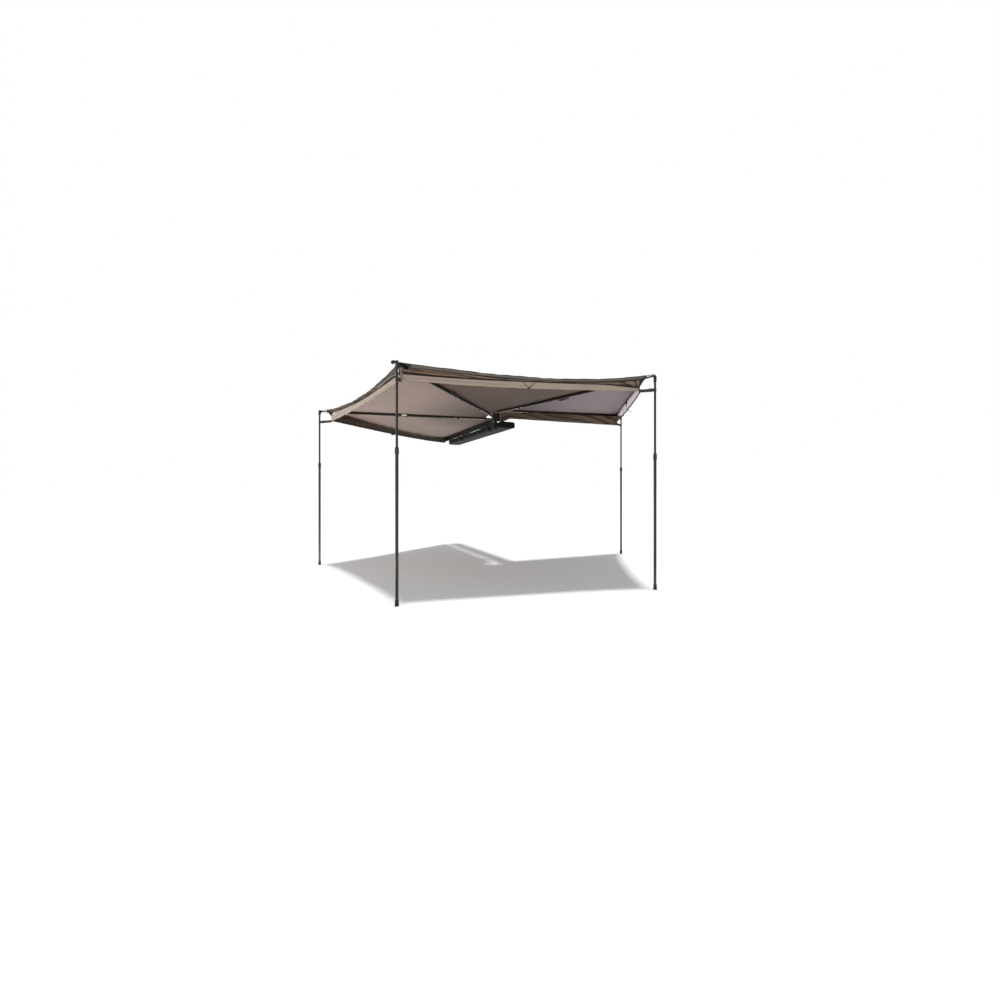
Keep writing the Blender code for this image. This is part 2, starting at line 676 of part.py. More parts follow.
def flap_grid():
    """Rows of the flap that lies over the last rafter and hangs down its far side."""
    columns = 28
    steps = 6
    first = 0.120
    last = FLAP_END
    share = np.linspace(0.0, 1.0, columns + 1)
    radius = first + (last - first) * share
    top = root_height(4) + RAFTER_SLOPE * radius + CANOPY_RISE
    bottom = 0.143 + 0.012 * (radius - 0.29)
    rows = []
    for step in range(-1, steps + 1):
        along = max(step, 0) / steps
        wave = np.sin(2 * math.pi * (5.5 * share + 0.35 * np.sin(7 * share)) + 2.0 * along)
        lateral = SEAM_GAP + 0 * share if step < 0 else FLAP_LATERAL + FLAP_WAVE * wave * along
        height = top if step < 0 else top - FLAP_FALL + (bottom - top + FLAP_FALL) * along
        rows.append(np.array([fan_point(4, *point) for point in zip(radius, lateral, height)]))
    return rows


def cloth(name, rows, material):
    """A sheet through rows of points, given its thickness by Solidify."""
    bm = bmesh.new()
    grid = [[bm.verts.new(point) for point in row] for row in rows]
    for upper, under in zip(grid, grid[1:]):
        for index in range(len(upper) - 1):
            bm.faces.new((upper[index], under[index], under[index + 1], upper[index + 1]))
    item = place_mesh(name, bm, None, material)
    thickness = item.modifiers.new("cloth", "SOLIDIFY")
    thickness.thickness = CLOTH
    thickness.offset = 0.0
    return item


def build():
    """Make every piece of the awning, shown pitched."""
    clear_scene()
    alloy = finish("black_anodised_tube", (0.022, 0.022, 0.024), 0.42, 0.85)
    rail_alloy = finish("black_rail", (0.025, 0.025, 0.027), 0.45, 0.80)
    steel = finish("black_steel_plate", (0.020, 0.020, 0.021), 0.50, 0.60)
    bright = finish("zinc_fastener", (0.55, 0.55, 0.56), 0.35, 1.0)
    cast = finish("black_cast_fitting", (0.018, 0.018, 0.019), 0.55, 0.30)
    plastic = finish("black_moulded_nylon", (0.015, 0.015, 0.016), 0.50)
    nylon = finish("natural_nylon_bush", (0.60, 0.58, 0.52), 0.55)
    rubber = finish("foot_rubber", (0.012, 0.012, 0.012), 0.80)
    canvas = finish("taupe_canvas", (0.27, 0.22, 0.18), 0.85)
    webbing = finish("black_webbing", (0.020, 0.019, 0.018), 0.85)
    vinyl = finish("black_vinyl", (0.012, 0.012, 0.013), 0.45)

    base = frame("hub_axis", (HUB_X, HUB_Y, 0.0))
    make_base_rail(base, rail_alloy, plastic)
    make_hub(base, steel, bright, nylon)
    make_rack_brackets(base, steel, bright)
    make_bag(base, vinyl)

    for index, side in enumerate(SIDES, start=1):
        turn = (0.0, 0.0, azimuth(index))
        hinge = frame(f"hinge_axis_{side}", (HUB_X, HUB_Y, root_height(index)), turn)
        slope = frame(f"rafter_line_{side}", (0.0, 0.0, 0.0), (0.0, -TILT, 0.0), hinge)
        make_knuckle(side, hinge, cast)
        make_rafter(side, index, slope, alloy)
        make_clip(side, index, slope, plastic)
        make_tip(side, index, slope, cast)
        pivot = frame(f"leg_pivot_{side}", fan_point(index, pivot_radius(index), 0.0, pivot_height(index)), turn)
        make_knob(side, pivot, plastic)
        make_leg_top(side, pivot, plastic, alloy)
        foot_point = fan_point(index, pivot_radius(index), LEG_OFFSET, GROUND_Z)
        foot = frame(f"leg_axis_{side}", foot_point, turn)
        make_leg_bottom(side, foot, plastic, alloy, rubber)
        make_corner_strap(side, index, pivot, webbing)

    for start, name in enumerate(("rail_a", "a_b", "b_c", "c_d")):
        cloth(f"canopy_{name}", canopy_grid(start), canvas)
    cloth("edge_flap_d", flap_grid(), canvas)


GROUPS = {}
build()
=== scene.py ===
"""Looks of a 270 degree side awning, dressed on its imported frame.

Every length is in metres and every place is in the part's own frame: +Z up, +Y the vehicle's forward direction.
The cloth, straps, bag, tubes and round fittings are numpy surfaces; flat fittings are the frame's own, softened.
"""

import json
import logging
import math
from dataclasses import dataclass, replace
from enum import Enum
from typing import Optional, Sequence, Union

import bmesh
import bpy
import numpy as np
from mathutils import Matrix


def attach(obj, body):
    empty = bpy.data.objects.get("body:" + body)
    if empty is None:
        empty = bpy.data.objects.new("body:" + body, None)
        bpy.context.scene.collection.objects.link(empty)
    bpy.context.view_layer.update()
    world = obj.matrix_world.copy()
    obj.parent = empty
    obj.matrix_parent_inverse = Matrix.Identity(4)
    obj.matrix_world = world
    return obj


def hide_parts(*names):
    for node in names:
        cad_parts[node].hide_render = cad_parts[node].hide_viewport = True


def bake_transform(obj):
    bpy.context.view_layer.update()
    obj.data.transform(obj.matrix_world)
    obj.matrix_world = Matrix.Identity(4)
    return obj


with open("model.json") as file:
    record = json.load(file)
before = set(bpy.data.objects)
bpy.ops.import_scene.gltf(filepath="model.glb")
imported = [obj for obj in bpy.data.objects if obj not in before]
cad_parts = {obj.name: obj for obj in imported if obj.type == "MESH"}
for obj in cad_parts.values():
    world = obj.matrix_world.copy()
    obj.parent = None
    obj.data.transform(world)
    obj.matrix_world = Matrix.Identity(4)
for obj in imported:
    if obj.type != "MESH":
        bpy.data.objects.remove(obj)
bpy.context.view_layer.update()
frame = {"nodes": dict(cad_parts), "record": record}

Array = np.ndarray
Number = Union[float, Array]
Stops = tuple[tuple[float, float], ...]
Item = bpy.types.Object
Tree = bpy.types.NodeTree
Socket = bpy.types.NodeSocket
LOG = logging.getLogger("awning")
UP = np.array([0.0, 0.0, 1.0])
# thickness of the coated cloth
CLOTH = 0.0009


class Side(Enum):
    """The four rafters, counted round the fan from the rail."""

    A = 1
    B = 2
    C = 3
    D = 4

    @property
    def letter(self) -> str:
        """The letter that ends this side's node names."""
        return self.name.lower()


# Finishes ------------------------------------------------------------------------------------------------------


def linear(code: str) -> tuple[float, float, float, float]:
    """Turn an sRGB hex colour into linear RGBA.

    Args:
        code: six hex digits, with or without a leading #.

    Returns:
        Linear red, green, blue and an alpha of 1.
    """
    digits = code.lstrip("#")
    parts = [int(digits[start:start + 2], 16) / 255 for start in (0, 2, 4)]
    return (*[part / 12.92 if part <= 0.04045 else ((part + 0.055) / 1.055) ** 2.4 for part in parts], 1.0)


def add_node(tree: Tree, kind: str, settings: Optional[dict] = None,
             links: Optional[dict] = None) -> bpy.types.Node:
    """Add a node, set its inputs and options, and link sockets to it.

    Args:
        tree: the material's node tree.
        kind: the node's type name.
        settings: values by input name or number, or by option name.
        links: source sockets by input name or number.

    Returns:
        The new node.
    """
    node = tree.nodes.new(kind)
    for key, value in (settings or {}).items():
        if isinstance(key, int) or key in node.inputs:
            node.inputs[key].default_value = value
        else:
            setattr(node, key, value)
    for key, source in (links or {}).items():
        tree.links.new(source, node.inputs[key])
    return node


def maths(tree: Tree, operation: str, *values: "Socket | float") -> Socket:
    """Work out a value from sockets and plain numbers.

    Args:
        tree: the material's node tree.
        operation: the maths node's operation.
        values: its inputs, in order.

    Returns:
        The result.
    """
    links = {place: value for place, value in enumerate(values) if isinstance(value, Socket)}
    numbers = {place: value for place, value in enumerate(values) if place not in links}
    return add_node(tree, "ShaderNodeMath", {"operation": operation, **numbers}, links).outputs[0]


def darkened(tree: Tree, colour: Socket, tone: Socket) -> Socket:
    """Multiply a colour by a tone from 0 to 1."""
    settings = {"data_type": "RGBA", "blend_type": "MULTIPLY", 0: 1.0}
    return add_node(tree, "ShaderNodeMix", settings, {6: colour, 7: tone}).outputs[2]


@dataclass(frozen=True)
class Finish:
    """A finish: its colours, gloss and the record's slot that it belongs to."""

    name: str
    slot: str
    colour: str
    second: str
    roughness: float
    metallic: float = 0.0
    grain_mm: float = 1.0
    depth_mm: float = 0.05
    sheen: float = 0.0
    patch_mm: float = 50.0
    specular: float = 0.5

    def build(self) -> bpy.types.Material:
        """Make the material, or return the one already made.

        Returns:
            The Blender material.
        """
        found = bpy.data.materials.get(self.name)
        if found is not None:
            return found
        material = bpy.data.materials.new(self.name)
        material.use_nodes = True
        tree = material.node_tree
        shader = tree.nodes["Principled BSDF"]
        shader.inputs["Metallic"].default_value = self.metallic
        shader.inputs["Roughness"].default_value = self.roughness
        shader.inputs["Sheen Weight"].default_value = self.sheen
        shader.inputs["Specular IOR Level"].default_value = self.specular
        self.dress(tree, shader)
        return material

    def mottle(self, tree: Tree, where: Socket) -> Socket:
        """Add soft patches between the finish's two colours.

        Args:
            tree: the material's node tree.
            where: the coordinates that the patches lie on.

        Returns:
            The colour.
        """
        noise = add_node(tree, "ShaderNodeTexNoise", {"Scale": 1000 / self.patch_mm, "Detail": 4.0},
                         {"Vector": where})
        return add_node(tree, "ShaderNodeMix", {"data_type": "RGBA", 6: linear(self.colour), 7: linear(self.second)},
                        {0: noise.outputs["Fac"]}).outputs[2]

    def relief(self, tree: Tree, shader: bpy.types.Node, height: Socket,
               strength: float = 0.5) -> None:
        """Bump the surface by a height pattern.

        Args:
            tree: the material's node tree.
            shader: the Principled shader.
            height: the pattern, from 0 to 1.
            strength: how strongly it tilts the surface.
        """
        bump = add_node(tree, "ShaderNodeBump", {"Strength": strength, "Distance": self.depth_mm / 1000},
                        {"Height": height})
        tree.links.new(bump.outputs["Normal"], shader.inputs["Normal"])

    def gloss(self, tree: Tree, shader: bpy.types.Node, source: Socket,
              spread: float) -> None:
        """Let roughness wander round its middle value.

        Args:
            tree: the material's node tree.
            shader: the Principled shader.
            source: a pattern from 0 to 1.
            spread: how far roughness goes each way.
        """
        wander = add_node(tree, "ShaderNodeMapRange", {3: self.roughness - spread, 4: self.roughness + spread},
                          {0: source})
        tree.links.new(wander.outputs["Result"], shader.inputs["Roughness"])

    def dress(self, tree: Tree, shader: bpy.types.Node) -> None:
        """Add a fine grain in object space: moulded, sprayed or cast.

        Args:
            tree: the material's node tree.
            shader: the Principled shader.
        """
        place = add_node(tree, "ShaderNodeTexCoord").outputs["Object"]
        tree.links.new(self.mottle(tree, place), shader.inputs["Base Color"])
        grain = add_node(tree, "ShaderNodeTexNoise", {"Scale": 1000 / self.grain_mm, "Detail": 2.0},
                         {"Vector": place})
        self.gloss(tree, shader, grain.outputs["Fac"], 0.06)
        self.relief(tree, shader, grain.outputs["Fac"])


@dataclass(frozen=True)
class DrawnTube(Finish):
    """Anodised extruded aluminium: satin, with faint lines along its length, which is the UV map's V."""

    def dress(self, tree: Tree, shader: bpy.types.Node) -> None:
        """Add die lines along the tube and a slow change of tone.

        Args:
            tree: the material's node tree.
            shader: the Principled shader.
        """
        spots = add_node(tree, "ShaderNodeTexCoord")
        tree.links.new(self.mottle(tree, spots.outputs["Object"]), shader.inputs["Base Color"])
        stretched = add_node(tree, "ShaderNodeMapping", {"Scale": (1000 / self.grain_mm, 3.0, 1.0)},
                             {"Vector": spots.outputs["UV"]})
        lines = add_node(tree, "ShaderNodeTexNoise", {"Scale": 1.0, "Detail": 2.0},
                         {"Vector": stretched.outputs["Vector"]})
        self.gloss(tree, shader, lines.outputs["Fac"], 0.07)
        self.relief(tree, shader, lines.outputs["Fac"], 0.25)


@dataclass(frozen=True)
class WovenCloth(Finish):
    """Coated ripstop cloth: plain weave with a raised grid of doubled threads; its UV map is in metres."""

    ripstop_mm: float = 7.0
    ripstop_share: float = 0.14
    stitch_rows: tuple[float, ...] = ()
    thread: str = "2a231e"
    thread_mm: float = 1.6
    stitch_mm: float = 5.0
    # tone of the painted shade at the hub, where 1 paints none
    hub_shade_tone: float = 1.0
    # tone of the painted shade deepest in a fold, where 1 paints none
    crease: float = 1.0

    def grid_lines(self, tree: Tree, axis: Socket, pitch: float,
                   width: float) -> Socket:
        """Mark narrow lines at an even pitch: 1 on a line and 0 between lines.

        Args:
            tree: the material's node tree.
            axis: a coordinate in metres.
            pitch: the distance between lines, in metres.
            width: a line's share of the pitch.

        Returns:
            The marking, as a socket.
        """
        part = maths(tree, "FRACT", maths(tree, "DIVIDE", axis, pitch))
        return maths(tree, "LESS_THAN", part, width)

    def dress(self, tree: Tree, shader: bpy.types.Node) -> None:
        """Add soft patches of tone, the ripstop grid, any rows of stitching, and painted shade near the hub and deep in
        the folds.

        Args:
            tree: the material's node tree.
            shader: the Principled shader.
        """
        spots = add_node(tree, "ShaderNodeTexCoord")
        axes = add_node(tree, "ShaderNodeSeparateXYZ", {}, {0: spots.outputs["UV"]})
        across, down = axes.outputs[0], axes.outputs[1]
        threads = [self.grid_lines(tree, axis, self.ripstop_mm / 1000, self.ripstop_share) for axis in (across, down)]
        ripstop = maths(tree, "MAXIMUM", *threads)
        weave = add_node(tree, "ShaderNodeTexNoise", {"Scale": 1000 / self.grain_mm, "Detail": 3.0},
                         {"Vector": spots.outputs["Object"]})
        relief = maths(tree, "MULTIPLY_ADD", ripstop, 0.5, weave.outputs["Fac"])
        tone = add_node(tree, "ShaderNodeMapRange", {3: 1.0, 4: 0.92}, {0: ripstop})
        last = darkened(tree, self.mottle(tree, spots.outputs["Object"]), tone.outputs["Result"])
        if self.hub_shade_tone < 1:
            # painted shade: the cloth is darker within a metre of the hub, and lightens towards the hem
            hub_shading = add_node(tree, "ShaderNodeMapRange", {"interpolation_type": "SMOOTHSTEP", 1: 0.05, 2: 1.15,
                                                          3: self.hub_shade_tone, 4: 1.0}, {0: down})
            last = darkened(tree, last, hub_shading.outputs["Result"])
        if self.crease < 1:
            # painted shade: the cloth darkens deep in its folds
            depth = add_node(tree, "ShaderNodeAttribute", {"attribute_name": "crease"})
            crease_darkening = add_node(tree, "ShaderNodeMapRange", {3: 1.0, 4: self.crease}, {0: depth.outputs["Fac"]})
            last = darkened(tree, last, crease_darkening.outputs["Result"])
        for row in self.stitch_rows:
            away = maths(tree, "ABSOLUTE", maths(tree, "SUBTRACT", down, row))
            line = maths(tree, "LESS_THAN", away, self.thread_mm / 2000)
            stitch = maths(tree, "MULTIPLY", line, self.grid_lines(tree, across, self.stitch_mm / 1000, 0.70))
            last = add_node(tree, "ShaderNodeMix", {"data_type": "RGBA", 7: linear(self.thread)},
                            {0: stitch, 6: last}).outputs[2]
            relief = maths(tree, "MULTIPLY_ADD", stitch, 1.5, relief)
        tree.links.new(last, shader.inputs["Base Color"])
        self.gloss(tree, shader, weave.outputs["Fac"], 0.05)
        self.relief(tree, shader, relief, 0.6)


@dataclass(frozen=True)
class Webbing(Finish):
    """Woven polyester webbing or braid: ribs across its width; U runs across from its middle and V along it."""

    width: float = 0.028

    def dress(self, tree: Tree, shader: bpy.types.Node) -> None:
        """Add ribs, and a paler middle that is a painted highlight.

        Args:
            tree: the material's node tree.
            shader: the Principled shader.
        """
        spots = add_node(tree, "ShaderNodeTexCoord")
        axes = add_node(tree, "ShaderNodeSeparateXYZ", {}, {0: spots.outputs["UV"]})
        ribs = add_node(tree, "ShaderNodeTexWave", {"Scale": 1000 / (self.grain_mm * 20), "Distortion": 0.4,
                                                    "bands_direction": "Y"}, {"Vector": spots.outputs["UV"]})
        # painted highlight: paler towards the webbing's middle
        away = maths(tree, "ABSOLUTE", axes.outputs[0])
        middle = add_node(tree, "ShaderNodeMapRange", {1: 0.0, 2: self.width / 2, 3: 1.0, 4: 0.0}, {0: away})
        tone = maths(tree, "MULTIPLY", middle.outputs["Result"], ribs.outputs["Fac"])
        colour = add_node(tree, "ShaderNodeMix", {"data_type": "RGBA", 6: linear(self.colour),
                                                  7: linear(self.second)}, {0: tone})
        tree.links.new(colour.outputs[2], shader.inputs["Base Color"])
        self.gloss(tree, shader, ribs.outputs["Fac"], 0.06)
        self.relief(tree, shader, ribs.outputs["Fac"], 0.7)


# Ripstop canvas with a water-shedding coat: matt, a grey taupe that turns to mauve where it is lit from below
CANVAS = WovenCloth("ripstop_canopy_canvas", "taupe_canvas", "93827a", "84746c", 0.78, grain_mm=1.6, depth_mm=0.30,
                    sheen=0.20, patch_mm=350)
# The canopy's coated underside: the same weave, browner and dull, with painted shade darkening it towards the hub
UNDER = WovenCloth("coated_canopy_underside", "taupe_canvas", "86756d", "7a6a62", 0.84, grain_mm=1.6, depth_mm=0.12,
                   patch_mm=350, hub_shade_tone=0.36)
# The same coat on the third panel, browner and darker as painted shade
SHADED_UNDER = replace(UNDER, name="shaded_canopy_underside", colour="4d3b31", second="43332a", hub_shade_tone=0.75)
# The same coat on the last panel, with a mauve cast of painted light, and the same painted shade towards the hub
MAUVE_LIT_UNDER = replace(UNDER, name="mauve_lit_canopy_underside", colour="7a6e70", second="6f6366")
# The skirts' upper cloth: the same canvas, browner, with painted shade deep in its folds
SKIRT = WovenCloth("ripstop_skirt_canvas", "taupe_canvas", "7c6551", "5c4939", 0.80, grain_mm=1.6, depth_mm=0.30,
                   sheen=0.15, patch_mm=120, crease=0.06)
# The first skirt's inner face: the same brown, darkened as painted shade, with painted shade in its folds that deepens
# towards the lower edge
SHADED_INSIDE = replace(UNDER, name="shaded_skirt_inside", colour="5e4d43", second="493a31", patch_mm=200, hub_shade_tone=1.0,
                 crease=0.10)
# The skirts' bottom band: undyed facing cloth, paler and a little smoother, sewn with one row
BAND = WovenCloth("pale_skirt_band", "taupe_canvas", "a19083", "928276", 0.76, grain_mm=1.4, depth_mm=0.22,
                  sheen=0.15, patch_mm=160, stitch_rows=(0.004,), thread="6b594b")
# Hem tape: a close olive-grey weave, sewn along both edges
HEM = WovenCloth("olive_hem_tape", "taupe_canvas", "6a6154", "564e43", 0.82, grain_mm=1.2, depth_mm=0.25,
                 patch_mm=90, ripstop_mm=3.0, stitch_rows=(0.004, 0.017))
# The second panel's hem tape: smoke grey, clouded with black as painted shade
SMOKE = WovenCloth("smoke_hem_tape", "taupe_canvas", "5d5853", "0f0d0c", 0.80, grain_mm=1.2, depth_mm=0.25,
                   patch_mm=45, ripstop_mm=3.0, stitch_rows=(0.004,), thread="a39c94")
# Lining inside the last skirt: smooth, pale and slightly pink, the paleness painted light shining through the cloth
BACKLIT_LINING = WovenCloth("backlit_skirt_lining", "taupe_canvas", "f4ecee", "ebe1e4", 0.70, grain_mm=4.0, depth_mm=0.01,
                    patch_mm=200, ripstop_mm=24.0)
# The flap's end patch: a close weave, dyed a dull red-brown
RUSSET = WovenCloth("russet_flap_patch", "taupe_canvas", "4c2a23", "3a1f1a", 0.80, grain_mm=1.2, depth_mm=0.20,
                    patch_mm=30, ripstop_mm=3.0)
# The flap's piping: grey-brown tape folded over a cord
PIPING = WovenCloth("grey_flap_piping", "taupe_canvas", "958d84", "857d74", 0.78, grain_mm=1.0, depth_mm=0.15,
                    patch_mm=60, ripstop_mm=2.0)
# Folded binding at the cloth's cut edges and corners: near-black, slightly ribbed
BINDING = WovenCloth("dark_edge_binding", "black_webbing", "241d1a", "1a1513", 0.80, grain_mm=1.0, depth_mm=0.20,
                     ripstop_mm=2.0)
# Polyester webbing: dull black, with a greyer middle that is a painted highlight
STRAP = Webbing("corner_webbing", "black_webbing", "15130f", "4a443c", 0.74, grain_mm=1.8, depth_mm=0.35)
TAPE = Webbing("narrow_webbing", "black_webbing", "17130f", "2a241f", 0.80, grain_mm=1.8, depth_mm=0.30, width=0.034)
# Braided shock cord
CORD = Webbing("braided_cord", "black_webbing", "1b1714", "5a4f45", 0.70, grain_mm=2.4, depth_mm=0.30, width=0.012)
# Dark anodised aluminium tube: satin, with a bright streak where a light runs along it
TUBE = DrawnTube("dark_anodised_tube", "black_anodised_tube", "201d1b", "191715", 0.27, 0.20, 0.9, 0.02,
                 patch_mm=180)
# The rafters' tubes: the same finish with a brown cast
RAFTER = DrawnTube("brown_anodised_rafter", "black_anodised_tube", "2c221b", "221a15", 0.36, 0.60, 0.9, 0.04,
                   patch_mm=180)
# Aluminium strips along the rafters' sides, paler and dull, drawn along their length: a painted highlight of the
# floor's light on the tubes' lower edges
HIGHLIGHT_STRIP = DrawnTube("pale_painted_highlight_strip", "black_anodised_tube", "b3a398", "9f9086", 0.60, 0.20, 0.9, 0.03, patch_mm=60)
RAIL = DrawnTube("dark_anodised_rail", "black_rail", "0c0b0b", "090808", 0.55, 0.0, 0.9, 0.03, patch_mm=180,
                 specular=0.2)
# Textured powder coat on steel plate: fine orange peel
PLATE = Finish("textured_powder_coat", "black_steel_plate", "131314", "0e0e0f", 0.58, 0.0, 1.4, 0.10, specular=0.3)
# Coated gravity casting: coarser skin than the plate's
CASTING = Finish("black_coated_casting", "black_cast_fitting", "1b1b1c", "121213", 0.52, 0.0, 2.2, 0.14)
# Glass-filled nylon, spark-textured in the mould: dull, with soft highlights on its edges
NYLON = Finish("spark_textured_nylon", "black_moulded_nylon", "1f1f20", "161617", 0.46, 0.0, 0.9, 0.06)
# Undyed nylon: milky and slightly waxy
BUSH = Finish("natural_nylon", "natural_nylon_bush", "cfc8b4", "c2bba6", 0.50, 0.0, 1.2, 0.03)
# Moulded cleat: cream nylon, a little waxy
CLEAT = Finish("cream_nylon_cleat", "black_moulded_nylon", "e6ddce", "dcd2c2", 0.45, 0.0, 1.2, 0.03)
# Zinc-plated steel: bright, with a faint cloud of passivation
ZINC = Finish("bright_zinc_plate", "zinc_fastener", "c3c4c6", "b1b1ac", 0.30, 1.0, 1.2, 0.03, patch_mm=12)
# Moulded rubber: deep black and dull
RUBBER = Finish("moulded_foot_rubber", "foot_rubber", "19191a", "111112", 0.78, 0.0, 1.6, 0.10)
# PVC-coated polyester: a glossy black skin with a crinkled grain
VINYL = Finish("coated_bag_vinyl", "black_vinyl", "0a0a0b", "070708", 0.72, 0.0, 5.0, 0.20, specular=0.2)


# Shapes --------------------------------------------------------------------------------------------------------


def smooth(low: float, high: float, value: Number) -> Array:
    """Rise from 0 at low to 1 at high along 3t^2 - 2t^3, for a number or an array."""
    share = np.clip((np.asarray(value, float) - low) / (high - low), 0.0, 1.0)
    return share * share * (3 - 2 * share)


def unit(vectors: Array) -> Array:
    """Scale vectors in the last axis to length one."""
    return vectors / np.maximum(np.linalg.norm(vectors, axis=-1, keepdims=True), 1e-12)


def spread(*parts: Number) -> list[Array]:
    """Turn numbers and arrays into arrays of one shape."""
    return np.broadcast_arrays(*[np.asarray(part, float) for part in parts])


def stepped(u: Array, stops: Stops) -> Array:
    """Read a width at u from the widths given at a few shares across."""
    return np.interp(u, *zip(*stops))


def arc_length(path: Array) -> Array:
    """The distance along a path at each of its points."""
    return np.concatenate([[0.0], np.cumsum(np.linalg.norm(np.diff(path, axis=0), axis=1))])


def resampled(path: Array, count: int) -> Array:
    """Round a path's corners with Catmull-Rom curves and space its points evenly.

    Args:
        path: the points that the curve passes through, of shape (n, 3).
        count: how many points it gets.

    Returns:
        Points of shape (count, 3).
    """
    padded = np.concatenate([2 * path[:1] - path[1:2], path, 2 * path[-1:] - path[-2:-1]])
    t = np.linspace(0, 1, 13)[:-1, None, None]
    p0, p1, p2, p3 = padded[:-3], padded[1:-2], padded[2:-1], padded[3:]
    curve = 0.5 * (2 * p1 + (p2 - p0) * t + (2 * p0 - 5 * p1 + 4 * p2 - p3) * t ** 2
                   + (3 * p1 - p0 - 3 * p2 + p3) * t ** 3)
    fine = np.concatenate([curve.transpose(1, 0, 2).reshape(-1, 3), path[-1:]])
    length = arc_length(fine)
    where = np.linspace(0, length[-1], count)
    return np.stack([np.interp(where, length, fine[:, axis]) for axis in range(3)], -1)


def rounded_outline(width: float, height: float, radius: float, steps: int = 4) -> Array:
    """Points round a rectangle whose corners are quarter circles of a radius.

    Args:
        width: the full size along the first axis.
        height: the full size along the second axis.
        radius: the corners' radius.
        steps: segments in each corner.

    Returns:
        Points of shape (4 * (steps + 1), 2), anticlockwise.
    """
    angle = (np.arange(4)[:, None] + np.linspace(0, 1, steps + 1)[None, :]) * math.pi / 2
    x = np.array([1, -1, -1, 1])[:, None] * (width / 2 - radius) + radius * np.cos(angle)
    y = np.array([1, 1, -1, -1])[:, None] * (height / 2 - radius) + radius * np.sin(angle)
    return np.stack([x, y], -1).reshape(-1, 2)


def circle(radius: float, sides: int) -> Array:
    """Points round a circle, of shape (sides, 2)."""
    angle = np.arange(sides) * 2 * math.pi / sides
    return radius * np.stack([np.cos(angle), np.sin(angle)], -1)


def sweep(path: Array, outline: Array, up: Array) -> Array:
    """Carry an outline along a path.

    At each path point the tangent is the path's gradient, the outline's first axis is up x tangent, and its second
    is at right angles to both.

    Args:
        path: points of shape (n, 3).
        outline: points of shape (m, 2), anticlockwise.
        up: one direction, or one for each path point.

    Returns:
        Points of shape (n, m, 3).
    """
    tangent = unit(np.gradient(path, axis=0))
    side = unit(np.cross(np.broadcast_to(up, path.shape), tangent))
    normal = np.cross(tangent, side)
    return path[:, None] + side[:, None] * outline[:, :1] + normal[:, None] * outline[:, 1:]


